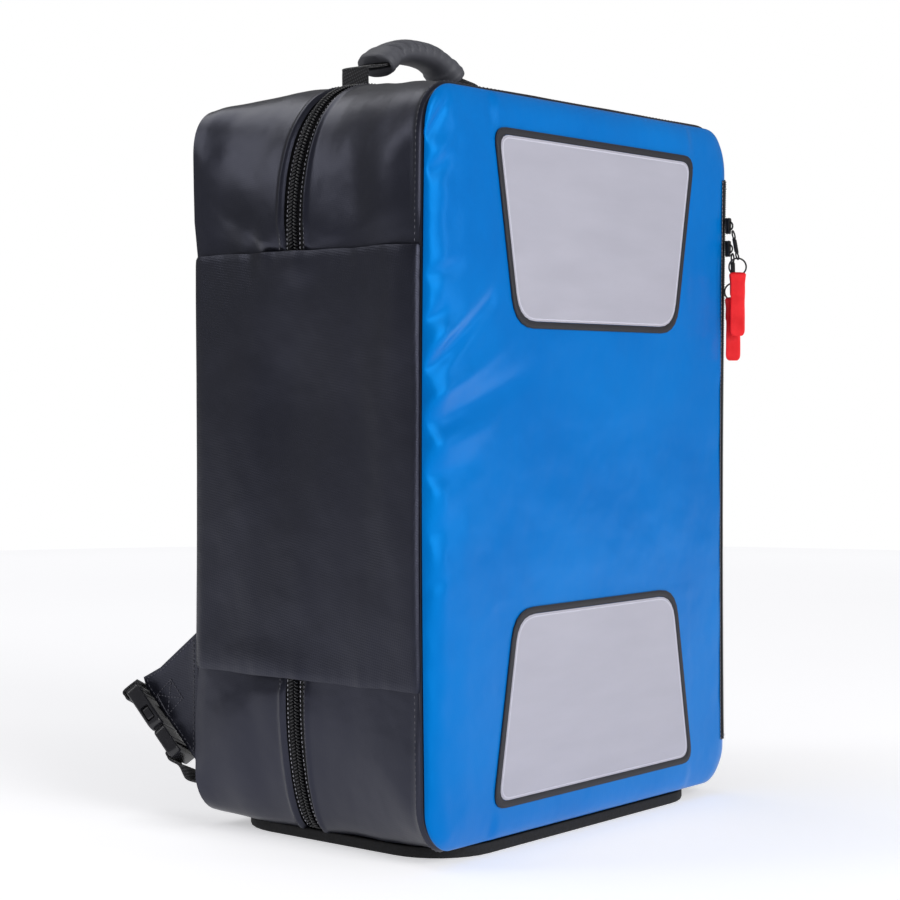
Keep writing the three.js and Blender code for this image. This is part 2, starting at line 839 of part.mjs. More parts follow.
// Reflective plates with their dark borders, flat on the front panel
function addPlates() {
  const settings = { depth: plateThickness, bevelEnabled: false, curveSegments: 5 };
  const right = new THREE.Vector3(1, 0, 0);
  const up = new THREE.Vector3(0, 0, 1);
  const out = new THREE.Vector3(0, -1, 0);
  const places = [
    { name: 'upper', height: upperPlateTop - plateHeight, across: right, upward: up },
    {
      name: 'lower',
      height: lowerPlateBottom + plateHeight,
      across: right.clone().negate(),
      upward: up.clone().negate(),
    },
  ];
  for (const place of places) {
    const at = new THREE.Vector3(plateShift, frontFace - seamGap, place.height);
    const group = placed(at, place.across, place.upward, out);
    const border = roundedShape(plateCorners(0));
    border.holes.push(roundedShape(plateCorners(plateBorder), THREE.Path));
    const inner = roundedShape(plateCorners(plateBorder + seamGap));
    const rim = new THREE.ExtrudeGeometry(border, settings);
    const plate = new THREE.ExtrudeGeometry(inner, settings);
    add(`plate_border_${place.name}`, rim, finishes.plateEdge, group);
    add(`plate_${place.name}`, plate, finishes.reflective, group);
  }
}

// Facet of the front panel that carries the pocket zip: its two edges between the zip's ends
function pocketFacet() {
  const rows = frontGrid().filter(([first]) => (
    first.z > pocketZipBottom - 0.01 && first.z < pocketZipTop + 0.01
  ));
  const last = rows[0].length - 1;
  return rows.map((row) => [row[last - 3], row[last - 2]]);
}

// Strip along the facet between two shares of its width
function facetStrip(from, to) {
  return pocketFacet()
    .map(([inner, edge]) => [from, to].map((share) => inner.clone().lerp(edge, share)));
}

// Place on the pocket zip at a height, and the zip's outward direction there
function pocketPlace(height) {
  const rows = pocketFacet();
  const next = Math.max(1, rows.findIndex(([inner]) => inner.z >= height));
  const share = THREE.MathUtils.inverseLerp(rows[next - 1][0].z, rows[next][0].z, height);
  const middle = (row) => row[0].clone().lerp(row[1], 0.5);
  const across = rows[next][1].clone().sub(rows[next][0]);
  const out = across.cross(new THREE.Vector3(0, 0, 1)).normalize();
  return { at: middle(rows[next - 1]).lerp(middle(rows[next]), share), out };
}

function addPocketZip() {
  const tapeLift = seamGap + pocketTapeThickness;
  const coilLift = tapeLift + seamGap + pocketCoilThickness;
  const tape = lifted(facetStrip(0.02, 0.98), tapeLift);
  const coil = lifted(facetStrip(0.25, 0.75), coilLift);
  add('pocket_zip_tape', cloth(tape, pocketTapeThickness), finishes.webbing);
  add('pocket_zip_coil', cloth(coil, pocketCoilThickness), finishes.zipCoil);
  return coilLift;
}

// Zip slider: a tapered body, its length along the zip and its back on the coil
function sliderGeometry() {
  const wide = sliderWidth / 2;
  const narrow = sliderWidth / 3;
  const half = sliderLength / 2;
  const corner = (x, y) => ({ at: new THREE.Vector2(x, y), radius: sliderWidth / 5 });
  const outline = roundedShape([
    corner(-narrow, -half),
    corner(narrow, -half),
    corner(wide, half),
    corner(-wide, half),
  ]);
  const body = new THREE.ExtrudeGeometry(outline, {
    depth: sliderThickness,
    bevelEnabled: false,
    curveSegments: 2,
  });
  const bridge = roundedBlock(sliderWidth / 4, sliderLength / 2, bridgeHeight / 2, 0.5, 0, 1);
  bridge.translate(0, 0, bridgeHeight / 2);
  return fromManifold(toManifold(body).add(toManifold(bridge)));
}

// Puller: a flat tongue that hangs from the origin along -Y, with an eye near its end
function pullerGeometry() {
  const corner = (x, y) => ({ at: new THREE.Vector2(x, y), radius: pullerWidth / 3 });
  const half = pullerWidth / 2;
  const shape = roundedShape([
    corner(-half, -pullerLength),
    corner(half, -pullerLength),
    corner(half * 0.7, 0),
    corner(-half * 0.7, 0),
  ]);
  const eye = new THREE.Path();
  eye.absarc(0, -pullerLength + pullerWidth / 2, pullerEyeRadius, 0, 2 * Math.PI);
  shape.holes.push(eye);
  return new THREE.ExtrudeGeometry(shape, {
    depth: pullerThickness,
    bevelEnabled: false,
    curveSegments: 4,
  }).translate(0, 0, -pullerThickness / 2);
}

// Red tab: a soft strip folded over the ring's wire, which lies on the origin along X
function tabGeometry() {
  const bend = ringWire + tabThickness / 2 + tabSlack;
  const across = new THREE.Vector3(1, 0, 0);
  const wide = webbingOutline(tabWidth, tabThickness);
  const narrow = webbingOutline(tabWidth * tabNeck, tabThickness);
  const turns = 6;
  const meet = tabThickness / 2 + seamGap / 2;
  const stations = [
    { y: meet, z: -tabFlap, outline: wide },
    { y: meet, z: -bend * 3, outline: wide },
  ];
  for (let turn = 0; turn <= turns; turn += 1) {
    const angle = (Math.PI * turn) / turns;
    stations.push({ y: bend * Math.cos(angle), z: bend * Math.sin(angle), outline: narrow });
  }
  stations.push(
    { y: -meet, z: -bend * 3, outline: wide },
    { y: -meet, z: -tabLength + bend, outline: wide },
  );
  return loft(stations.map(({ y, z, outline }) => ({
    at: new THREE.Vector3(0, y, z),
    across,
    outline,
  })));
}

// The direction along which the rings and tabs are seen flat, and the one across them
const ringAxis = new THREE.Vector3(0.77, 0.638, 0).normalize();
const ringAcross = new THREE.Vector3(0.638, -0.77, 0).normalize();

// How each puller of the pocket zip hangs: its lean across and along the rings' axis, as
// shares of its length
const pocketPulls = [
  { name: 'upper', lean: 0.3, swing: -0.32 },
  { name: 'lower', lean: 0.19, swing: 0.02 },
];

// Sliders of the pocket zip, each with its puller, ring and tab
function addPocketPulls(coilLift) {
  const up = new THREE.Vector3(0, 0, 1);
  const metal = finishes.metal;
  pocketPulls.forEach((pull, index) => {
    const { at, out } = pocketPlace(pocketSliderHeights[index]);
    const seat = at.clone().addScaledVector(out, coilLift + seamGap);
    const side = up.clone().cross(out).normalize();
    add(`pocket_slider_${pull.name}`, sliderGeometry(), metal, placed(seat, side, up, out));
    const hang = up.clone().negate()
      .addScaledVector(ringAxis, pull.swing)
      .addScaledVector(ringAcross, pull.lean)
      .normalize();
    const head = seat.clone()
      .addScaledVector(out, bridgeHeight)
      .addScaledVector(up, -sliderLength / 4 - seamGap);
    const facing = ringAcross.clone().applyAxisAngle(up, -pullerTwist);
    const wide = hang.clone().cross(facing).normalize();
    const back = hang.clone().negate();
    const puller = placed(head, wide, back, wide.clone().cross(back));
    add(`pocket_puller_${pull.name}`, pullerGeometry(), metal, puller);
    const ring = head.clone()
      .addScaledVector(hang, pullerLength - pullerWidth / 2)
      .addScaledVector(up, -ringRadius);
    const ringShape = new THREE.TorusGeometry(ringRadius, ringWire, 5, 16);
    const ringGroup = placed(ring, ringAcross, up, ringAcross.clone().cross(up));
    add(`pocket_ring_${pull.name}`, ringShape, metal, ringGroup);
    const hook = ring.clone().addScaledVector(up, -ringRadius);
    const tab = placed(hook, ringAcross, up.clone().cross(ringAcross), up);
    add(`pocket_tab_${pull.name}`, tabGeometry(), finishes.redTab, tab);
  });
}

// The main zip's two sliders, met at the middle of the top, with their pullers laid flat
function addMainSliders() {
  const y = skinPlace(zipDepthShare, bodyHeight);
  const top = bodyHeight + crownRise + zipCoilStandOut + seamGap;
  for (const [name, side] of [['left', -1], ['right', 1]]) {
    const outward = new THREE.Vector3(side, 0, 0);
    const up = new THREE.Vector3(0, 0, 1);
    const at = new THREE.Vector3((side * zipSliderSpacing) / 2, y, top);
    const slider = placed(at, outward.clone().cross(up), outward, up);
    add(`main_slider_${name}`, sliderGeometry(), finishes.metal, slider);
    const rest = at.clone();
    rest.x += side * (sliderLength / 2 + seamGap + pullerLength);
    rest.z += pullerThickness;
    const puller = placed(rest, outward.clone().cross(up), outward, up);
    add(`main_puller_${name}`, pullerGeometry(), finishes.metal, puller);
  }
}

// Handle line from one end of the grip to the other, at a share of its half span
function gripPoint(out) {
  const drop = (gripCrest - gripEndHeight) * Math.abs(out) ** gripDroop;
  return new THREE.Vector3((out * gripSpan) / 2, handleDepth, gripCrest - drop);
}

function addHandle() {
  const depthwise = new THREE.Vector3(0, 1, 0);
  const sections = [
    ...gripSections.slice(1).reverse().map((row) => ({ ...row, out: -row.out })),
    ...gripSections,
  ];
  const rings = (outlineOf) => sections.map((row, index) => {
    const at = gripPoint(row.out);
    const before = gripPoint(sections[Math.max(index - 1, 0)].out);
    const after = gripPoint(sections[Math.min(index + 1, sections.length - 1)].out);
    const through = after.clone().sub(before).cross(depthwise).normalize();
    return outlineOf(row).map(([wide, thick]) => at.clone()
      .addScaledVector(depthwise, wide)
      .addScaledVector(through, thick));
  });
  const sides = 12;
  const outer = rings((row) => (
    roundOutline(gripWidth * row.wide, gripHeight * row.high, gripPower, sides)
  ));
  const slot = rings(() => roundOutline(gripSlotWidth, gripSlotHeight, gripSlotPower, sides));
  add('handle_grip', wall(outer, slot, true), finishes.rubber);
  const depth = handleDepth / bodyDepth + 0.5;
  const tip = (offset) => section(depth + offset / bodyDepth).top;
  const rise = tip(webbingWidth / 2) - tip(-webbingWidth / 2);
  const tilted = new THREE.Vector3(0, webbingWidth, rise);
  const foot = tip(0) + webbingThickness / 2 + seamGap * 2;
  const outline = webbingOutline();
  const bend = handleFootBend;
  const half = [
    { x: handleFold + handleFootLength, z: foot, across: tilted },
    { x: handleFold + bend / 2, z: foot, across: tilted },
    { x: handleFold + bend / 12, z: foot + bend / 3, across: tilted },
    { x: handleFold, z: foot + bend, across: depthwise },
    { x: handleFold, z: handleFoldHeight - bend / 4, across: depthwise },
    { x: handleFold - bend / 4, z: handleFoldHeight + bend / 8, across: depthwise },
  ].map(({ x, z, across }) => ({ at: new THREE.Vector3(x, handleDepth, z), across, outline }));
  const inside = sections.map((row) => ({ at: gripPoint(row.out), across: depthwise, outline }));
  const left = half.map(({ at, across }) => ({
    at: new THREE.Vector3(-at.x, at.y, at.z),
    across,
    outline,
  }));
  const stations = [...left, ...inside, ...half.reverse()];
  add('handle_strap', loft(stations), finishes.webbing);
}

// Anchor wings behind the lower corners of the back
function addWings() {
  const outline = wingOutline
    .map(({ back, up }) => new THREE.Vector2(back * wingReach, up * wingHeight));
  const geometry = new THREE.ExtrudeGeometry(new THREE.Shape(outline), {
    depth: wingThickness,
    bevelEnabled: false,
  });
  const right = new THREE.Vector3(1, 0, 0);
  const back = new THREE.Vector3(0, 1, 0);
  const up = new THREE.Vector3(0, 0, 1);
  const edge = bodyWidth / 2 - wingSetIn;
  for (const [name, x] of [['left', -edge], ['right', edge - wingThickness]]) {
    const at = new THREE.Vector3(x, wingStart, wingBottom);
    add(`wing_${name}`, geometry, finishes.coatedCloth, placed(at, back, up, right));
  }
}

// Buckle halves lie along Y with the socket's open mouth at the origin; the socket is
// hollow for the plug's tongue and open at its sides for the plug's two presses
function socketGeometry() {
  const body = roundedBlock(buckleWidth, socketLength, buckleThickness, buckleRound, 1, 2);
  body.translate(0, socketLength / 2, -buckleThickness / 2);
  const slot = buckleSlot(socketLength - buckleBar - buckleSlotHeight / 2);
  const hollowHeight = tongueThickness + 2 * tongueClearance;
  const hollowWidth = buckleWidth - 2 * socketWall;
  const hollowLength = 2 * (tongueLength + tongueClearance);
  const mouth = roundedBlock(hollowWidth, hollowLength, hollowHeight, 0.5, 0, 1);
  mouth.translate(0, 0, -hollowHeight / 2);
  const windows = roundedBlock(buckleWidth * 2, windowLength, hollowHeight, 1, 0, 1);
  windows.translate(0, windowPlace, -hollowHeight / 2);
  return fromManifold(toManifold(body)
    .subtract(slot)
    .subtract(toManifold(mouth))
    .subtract(toManifold(windows)));
}

// Slot for the webbing through a buckle half, at a place along it
function buckleSlot(place) {
  const slot = roundedBlock(buckleSlotWidth, buckleSlotHeight, buckleThickness * 2, 1, 0, 1);
  return toManifold(slot.translate(0, place, -buckleThickness));
}

// Bar of the plug from one place along the buckle to another
function plugBar(centre, width, from, to) {
  const bar = roundedBlock(width, to - from, tongueThickness, 0.5, 0, 1);
  return toManifold(bar.translate(centre, (from + to) / 2, -tongueThickness / 2));
}

function plugGeometry() {
  const thickness = buckleThickness - plugThinner;
  const end = -buckleJoint - plugLength;
  const root = -buckleJoint - prongRoot;
  const base = roundedBlock(buckleWidth, plugLength, thickness, buckleRound, 1, 2);
  base.translate(0, end + plugLength / 2, -thickness / 2);
  const press = windowLength - 2 * tongueClearance - pressClearance;
  const pressFrom = windowPlace - press / 2;
  const prongEnd = tongueLength - tongueClearance;
  const prong = (side) => plugBar(side * prongPlace, prongWidth, root, prongEnd)
    .add(plugBar(side * pressPlace, pressWidth, pressFrom, pressFrom + press));
  return fromManifold(toManifold(base)
    .add(plugBar(0, tongueWidth, root, tongueLength - 1))
    .add(prong(-1))
    .add(prong(1))
    .subtract(buckleSlot(end + buckleBar + buckleSlotHeight / 2)));
}

// Point of the left-hand side moved to a side, -1 left or 1 right
function mirrored(side, x, y, z) {
  return new THREE.Vector3(side < 0 ? x : -x, y, z);
}

// Where a buckle hangs: its socket's bar end at the wing's tip, its plug towards the bag
const buckleTop = {
  x: -bodyWidth / 2 + buckleSetIn,
  y: wingStart + wingReach + buckleOverhang,
  z: wingBottom + wingHeight * 0.49,
};
const buckleDown = { x: 0.02, y: -0.72, z: -0.69 };
const buckleAcross = { x: 0.86, y: 0.35, z: -0.36 };

function buckleFrame(side) {
  const down = mirrored(side, buckleDown.x, buckleDown.y, buckleDown.z).normalize();
  const rough = mirrored(side, buckleAcross.x, buckleAcross.y, buckleAcross.z);
  const across = rough.addScaledVector(down, -rough.dot(down)).normalize();
  const length = down.clone().negate();
  const through = across.clone().cross(length);
  const outward = through.clone().multiplyScalar(side);
  const top = mirrored(side, buckleTop.x, buckleTop.y, buckleTop.z);
  const mouth = top.clone().addScaledVector(down, socketLength);
  return { across, length, through, outward, mouth };
}

// Buckles, the webbing that ties each socket to its wing, and the strap webbing that turns
// up from each plug to the shoulder pad
function addBuckles() {
  for (const [name, side] of [['left', -1], ['right', 1]]) {
    const frame = buckleFrame(side);
    const group = placed(frame.mouth, frame.across, frame.length, frame.through);
    add(`buckle_socket_${name}`, socketGeometry(), finishes.buckle, group);
    add(`buckle_plug_${name}`, plugGeometry(), finishes.buckle, group);
    addAnchorWebbing(name, frame);
    addStrapWebbing(name, side, frame);
  }
}

// Webbing station beside a buckle: its place along the buckle and out from its middle
function besideBuckle(frame, { lengthwise, outward }) {
  const at = frame.mouth.clone()
    .addScaledVector(frame.length, lengthwise)
    .addScaledVector(frame.outward, outward);
  return { at, across: frame.across, outline: webbingOutline() };
}

const besideBar = buckleThickness / 2 + seamGap + webbingThickness / 2;

// Loop round the socket's bar, both ends sewn to the wing's edge
function addAnchorWebbing(name, frame) {
  const slot = socketLength - buckleBar - buckleSlotHeight / 2;
  const over = socketLength + seamGap + webbingThickness / 2;
  const route = [
    { lengthwise: slot, outward: -anchorReach },
    { lengthwise: slot, outward: besideBar },
    { lengthwise: (slot + over) / 2, outward: besideBar * 1.2 },
    { lengthwise: over, outward: besideBar },
    { lengthwise: over, outward: -anchorReach },
  ];
  const stations = route.map((row) => besideBuckle(frame, row));
  add(`anchor_webbing_${name}`, loft(stations), finishes.webbing);
}

// Strap webbing from the plug's bar, turned up beside the bag's foot to the shoulder pad
function addStrapWebbing(name, side, frame) {
  const end = -buckleJoint - plugLength;
  const slot = end + buckleBar + buckleSlotHeight / 2;
  const route = [
    { lengthwise: slot, outward: -besideBar * 0.6 },
    { lengthwise: slot, outward: besideBar * 0.8 },
    { lengthwise: (slot + end) / 2, outward: besideBar },
    { lengthwise: end, outward: besideBar },
  ];
  const line = strapLine.map((row) => ({
    at: new THREE.Vector3(
      (side * row.across * bodyWidth) / 2,
      backSeam + row.back * wingReach,
      row.up * wingHeight,
    ),
    across: new THREE.Vector3(-side, 0, row.tilt),
    outline: webbingOutline(),
  }));
  const padEnd = padPoint(side, padLine[padLine.length - 1]);
  const down = padEnd.clone().sub(padPoint(side, padLine[padLine.length - 2])).normalize();
  const last = {
    at: padEnd.addScaledVector(down, seamGap),
    across: new THREE.Vector3(-side, 0, padTilt),
    outline: webbingOutline(),
  };
  const stations = [...route.map((row) => besideBuckle(frame, row)), ...line, last];
  add(`strap_webbing_${name}`, loft(stations), finishes.webbing);
}

// Height-wise place on a shoulder pad's line
function padPoint(side, row) {
  const x = (side * row.across * bodyWidth) / 2;
  const back = backSeam + padThickness / 2 + seamGap;
  return new THREE.Vector3(x, back + padStandOff * row.off, row.up * bodyHeight);
}

function addShoulderStraps() {
  for (const [name, side] of [['left', -1], ['right', 1]]) {
    const outline = roundOutline(padWidth, padThickness, padPower, 10);
    const across = new THREE.Vector3(-side, 0, padTilt);
    const stations = padLine.map((row) => ({ at: padPoint(side, row), across, outline }));
    add(`shoulder_strap_${name}`, loft(stations), finishes.coatedCloth);
  }
}

addBase();
addGussets();
addSidePanels();
addMainZip();
addMainSliders();
addPiping();
addEndPanels();
addPlates();
addPocketPulls(addPocketZip());
addHandle();
addWings();
addBuckles();
addShoulderStraps();

export default backpack;
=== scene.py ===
"""Emergency medical backpack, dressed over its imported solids.

Black coated tarpaulin shell with a coil zip round its rim, a puffed blue front with two
reflective plates and a pocket zip, a moulded grip on webbing, and shoulder straps that end
in side-release buckles. Metres, +Z up, the front faces -Y.
"""
import math

import bmesh
import bpy
from mathutils import Euler, Matrix, Vector, noise


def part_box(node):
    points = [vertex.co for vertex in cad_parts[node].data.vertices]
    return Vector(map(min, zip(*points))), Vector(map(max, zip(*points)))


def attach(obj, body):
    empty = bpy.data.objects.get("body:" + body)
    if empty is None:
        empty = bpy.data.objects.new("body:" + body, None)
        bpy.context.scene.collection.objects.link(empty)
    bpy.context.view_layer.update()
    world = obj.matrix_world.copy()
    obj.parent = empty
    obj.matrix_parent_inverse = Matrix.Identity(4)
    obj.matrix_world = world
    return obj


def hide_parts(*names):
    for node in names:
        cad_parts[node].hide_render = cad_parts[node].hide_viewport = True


bl_info = {
    "name": "Emergency medical backpack",
    "version": (1, 0, 0),
    "blender": (4, 5, 0),
    "location": "View3D > Sidebar > Backpack",
    "description": "Dresses the packed backpack with cloth, zips, webbing and buckles",
    "category": "Object",
}

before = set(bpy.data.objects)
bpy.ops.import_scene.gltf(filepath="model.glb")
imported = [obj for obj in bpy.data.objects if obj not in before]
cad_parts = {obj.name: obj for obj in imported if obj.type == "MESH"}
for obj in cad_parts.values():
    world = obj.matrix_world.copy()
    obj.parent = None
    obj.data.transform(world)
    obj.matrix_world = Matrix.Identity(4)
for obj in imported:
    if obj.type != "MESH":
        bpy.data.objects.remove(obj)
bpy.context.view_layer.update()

MM = 0.001
WELD_REACH = 0.001
UP = Vector((0, 0, 1))
DEPTHWISE = Vector((0, 1, 0))
SIDES = (("left", -1), ("right", 1))

# Sizes of the bag in millimetres, the same as its solids have
WIDTH, DEPTH, HEIGHT = 350.0, 213.0, 500.0
CROWN_RISE = 13.0
CLOTH = 2.0
GAP = 0.3
SIDE_BOW = 2.5
SEAM_BOW = 5.0
EDGE_TUCK = 2.0
UPPER_SEAM, LOWER_SEAM = 396.7, 111.5
BASE_HEIGHT, BASE_WIDTH = 7.5, 300.0
FRONT_SEAM, BACK_SEAM = -DEPTH / 2, DEPTH / 2
FRONT_FACE = FRONT_SEAM - 5.0
SEAM_CORNER = {"top_run": 28, "top_rise": 33, "bottom_rise": 27}
ZIP_CORNER = {"top_run": 78, "top_rise": 114, "bottom_rise": 95}
TOP_POWER, BOTTOM_POWER = 2.35, 1.85
ZIP_DEPTH = 0.55
ZIP_OPENING = 16.0
PIPING, PIPING_SET_IN, PIPING_PLACE = 3.2, 0.6, 5.0
PANEL_RIM, EDGE_RUN = 1.2, 15.0
WING_START = BACK_SEAM - 1.2
WING_REACH, WING_HEIGHT, WING_BOTTOM = 57.0, 94.0, 43.0
WEBBING_WIDTH, WEBBING_THICKNESS = 25.0, 1.6

# Reflective plates: height, width and corner radius at the wide and the narrow end, shift to
# the right, and the height at which each plate's narrow end lies
PLATE_HEIGHT, PLATE_WIDE, PLATE_NARROW = 130.0, 236.0, 190.0
WIDE_CORNER, NARROW_CORNER, PLATE_SHIFT = 13, 20, 4.5
PLATE_ENDS = {"upper": 345.0, "lower": 160.0}

# Share of the depth: how far the corners have widened, and the tuck at the seams
SKIN = (
    (0, 0, 0.5), (0.08, 0.18, 0.1), (0.25, 0.6, 0), (0.42, 0.92, 0), (ZIP_DEPTH, 1, 0),
    (0.7, 0.9, 0), (0.86, 0.55, 0), (0.95, 0.2, 0.05), (1, 0, 0.6),
)

# Shallow hollows of each side: depth and height shares, their reaches, and sink share
SIDE_HOLLOWS = (
    (0.46, 0.6, 0.3, 0.16, 0.2), (0.84, 0.8, 0.14, 0.05, 0.16), (0.3, 0.87, 0.12, 0.07, 0.14),
)

# Dents and puckers seen in the side cloth, in millimetres from the front seam and up from
# the floor: place, reach along and up, turn in degrees, and how far they stand out
SIDE_FOLDS = (
    (182, 409, 15, 6, 20, -3.0), (155, 403, 6, 9, 30, -1.6), (146, 404, 5, 12, -25, 1.3),
    (128, 402, 5, 10, 20, -1.2), (110, 386, 22, 5, -8, 1.3), (99, 301, 45, 42, 10, -2.2),
    (27, 344, 11, 46, 6, 1.3), (31, 432, 14, 26, 10, 1.6), (66, 439, 13, 40, 0, -1.4),
    (10, 402, 8, 6, 25, -1.4), (22, 404, 4, 8, -20, 0.9), (152, 121, 34, 8, 5, 1.4),
    (142, 87, 10, 12, 0, 1.1), (5, 105, 10, 6, 30, -1.2), (60, 200, 30, 70, 12, -1.2),
    (150, 220, 32, 80, -6, 1.2), (178, 62, 20, 30, 10, 1.4), (185, 450, 18, 30, 15, -1.2),
    (150, 455, 26, 30, -30, 1.3), (30, 60, 22, 30, 0, 1.2), (92, 100, 20, 5, 5, -1.0),
    (175, 300, 16, 60, 4, -1.2), (40, 260, 12, 60, -4, 0.9), (75, 391, 12, 3, 0, 0.8),
)

# Factors on the breadth and height of the blue front's folds, and the share they fade over
FOLD_BREADTH, FOLD_HEIGHT, FOLD_FADE = 1.2, 1.2, 0.03

# Folds of the blue front: start and end as shares across and up, breadth, stand-out in
# millimetres; a minus sign is a valley
FRONT_FOLDS = (
    (0.00, 0.690, 0.055, 0.712, 0.008, -2.4), (0.00, 0.626, 0.23, 0.757, 0.011, -3.0),
    (0.00, 0.560, 0.32, 0.640, 0.014, -2.7), (0.00, 0.495, 0.15, 0.518, 0.012, -2.2),
    (0.00, 0.660, 0.12, 0.715, 0.010, 1.7), (0.00, 0.592, 0.24, 0.672, 0.011, 1.9),
    (0.00, 0.530, 0.20, 0.572, 0.012, 1.5), (0.00, 0.748, 0.10, 0.772, 0.009, -2.0),
    (0.00, 0.420, 0.10, 0.440, 0.015, -1.3), (0.01, 0.930, 0.065, 0.985, 0.009, -2.4),
    (0.02, 0.885, 0.06, 0.90, 0.009, -1.8), (0.03, 0.91, 0.08, 0.94, 0.010, 1.2),
    (0.00, 0.300, 0.07, 0.310, 0.014, -0.9), (0.00, 0.355, 0.06, 0.372, 0.010, -1.1),
    (0.93, 0.060, 1.00, 0.030, 0.012, -0.9), (0.90, 0.950, 1.00, 0.985, 0.012, -0.9),
)


def lerp(a, b, share):
    return a + (b - a) * share


def clamp(value, low=0.0, high=1.0):
    return max(low, min(high, value))


def bell(*values):
    """One at nought, falling softly to nothing all round."""
    return math.exp(-sum(value * value for value in values))


def rise(value):
    """Smooth step from nought to one."""
    value = clamp(value)
    return value * value * (3 - 2 * value)


def along(column, depth):
    """Value of a column of SKIN at a share of the depth."""
    for before, after in zip(SKIN, SKIN[1:]):
        if depth <= after[0]:
            share = (depth - before[0]) / (after[0] - before[0])
            return lerp(before[column], after[column], clamp(share))
    return SKIN[-1][column]


def even_shares(low, high, steps):
    """Numbers from low to high at equal steps, both ends with them."""
    return [lerp(low, high, step / steps) for step in range(steps + 1)]


def middle_share(height):
    """One halfway up the bag, nought at its foot and top."""
    return math.sin(math.pi * clamp(height / HEIGHT))


def section(depth, inset=0.0):
    """Cross-section of the skin at a share of the depth, set in by a distance."""
    fullness, tuck = along(1, depth), along(2, depth) * EDGE_TUCK
    corner = {key: lerp(seam, ZIP_CORNER[key], fullness) - inset
              for key, seam in SEAM_CORNER.items()}
    half = WIDTH / 2 - tuck - inset
    top = HEIGHT - tuck + CROWN_RISE * fullness - inset
    bottom = BASE_HEIGHT + GAP + tuck + inset
    return {"depth": depth, "half": half, "top": top, "bottom": bottom,
            "bottom_run": half - BASE_WIDTH / 2, **corner}


def corner_share(turn, power):
    """Shares across and up of a soft corner at a share of its quarter turn."""
    angle = math.pi / 2 * turn
    return abs(math.cos(angle)) ** (2 / power), abs(math.sin(angle)) ** (2 / power)


def hollow_sink(depth, height):
    """How far the side's shallow hollows sink at a place, in millimetres."""
    return sum(sink * CROWN_RISE * bell((depth - at) / reach, (height / HEIGHT - up) / tall)
               for at, up, reach, tall, sink in SIDE_HOLLOWS)


def half_profile(shape, bottom_turns=9, side_steps=26, top_turns=18, top_steps=16):
    """Right-hand half of a cross-section, from the base's edge up to the top's middle."""
    points = []
    for step in range(bottom_turns):
        run, up = corner_share(1 - step / bottom_turns, BOTTOM_POWER)
        points.append((BASE_WIDTH / 2 + shape["bottom_run"] * run,
                       shape["bottom"] + shape["bottom_rise"] * (1 - up)))
    start = shape["bottom"] + shape["bottom_rise"]
    points += [(shape["half"], lerp(start, LOWER_SEAM, share)) for share in (0, 0.5)]
    points += [(shape["half"], lerp(LOWER_SEAM, UPPER_SEAM, step / side_steps))
               for step in range(side_steps)]
    first = shape["top"] - shape["top_rise"]
    points += [(shape["half"], lerp(UPPER_SEAM, first, share)) for share in (0, 0.35, 0.7)]
    for step in range(top_turns + 1):
        run, up = corner_share(step / top_turns, TOP_POWER)
        points.append((shape["half"] - shape["top_run"] * (1 - run),
                       shape["top"] - shape["top_rise"] * (1 - up)))
    flat = shape["half"] - shape["top_run"]
    points += [(flat * (1 - step / top_steps), shape["top"]) for step in range(1, top_steps + 1)]
    drawn = []
    for x, z in points:
        pull = SIDE_BOW * middle_share(z) + hollow_sink(shape["depth"], z)
        drawn.append((x - pull * min(1, x / flat), z))
    return drawn


def profile(shape):
    """Whole cross-section from the left-hand base edge over the top to the right-hand one."""
    right = half_profile(shape)
    return [(-x, z) for x, z in right[:-1]] + right[::-1]


def skin_place(depth, height):
    """Place of the skin along Y at a share of the depth, with the front seam's bow."""
    bow = SEAM_BOW * middle_share(height) * max(0, 1 - depth / ZIP_DEPTH)
    return FRONT_SEAM + DEPTH * depth + bow


def skin_points(depth):
    """Points round the skin at a share of the depth."""
    return [Vector((x, skin_place(depth, z), z)) for x, z in profile(section(depth))]


def behind(point, depth):
    """How far a point lies behind the skin's place at a share of the depth."""
    return point.y - skin_place(depth, point.z)


def crumple(point, size, seed):
    """Soft unevenness of the cloth, from -1 to 1, with features of a size in millimetres."""
    return noise.noise(Vector((point.x / size + seed, point.y / size, point.z / size)))


def side_relief(point):
    """Dents, puckers and soft waves of the side cloth, in millimetres."""
    along_side, height = point.y - FRONT_SEAM, point.z
    total = 0.0
    for at, up, reach, tall, turn, out in SIDE_FOLDS:
        c, s = math.cos(math.radians(turn)), math.sin(math.radians(turn))
        dy, dz = along_side - at, height - up
        total += out * bell((dy * c + dz * s) / reach, (dz * c - dy * s) / tall)
    side = clamp((abs(point.x) - 110) / 50)
    broad = 2.2 * crumple(Vector((point.x, point.y * 1.3, point.z * 0.4)), 58, 3)
    return side * total + broad + 0.35 * crumple(point, 17, 9)


def lifted(rows, distance):
    """The same grid moved out along its own normals by a distance or a function of the point."""
    moved = []
    for i, line in enumerate(rows):
        before, after = rows[max(i - 1, 0)], rows[min(i + 1, len(rows) - 1)]
        made = []
        for j, point in enumerate(line):
            across = line[min(j + 1, len(line) - 1)] - line[max(j - 1, 0)]
            normal = across.cross(after[j] - before[j]).normalized()
            amount = distance(point) if callable(distance) else distance
            made.append(point + normal * amount)
        moved.append(made)
    return moved


def smooth_line(points, steps):
    """Points on a soft curve through the given ones."""
    made = []
    for index in range(len(points) - 1):
        p0, p1 = points[max(index - 1, 0)], points[index]
        p2, p3 = points[index + 1], points[min(index + 2, len(points) - 1)]
        for step in range(steps):
            t = step / steps
            made.append(0.5 * ((2 * p1) + (p2 - p0) * t + (2 * p0 - 5 * p1 + 4 * p2 - p3) * t ** 2
                               + (3 * p1 - p0 - 3 * p2 + p3) * t ** 3))
    return made + [points[-1].copy()]


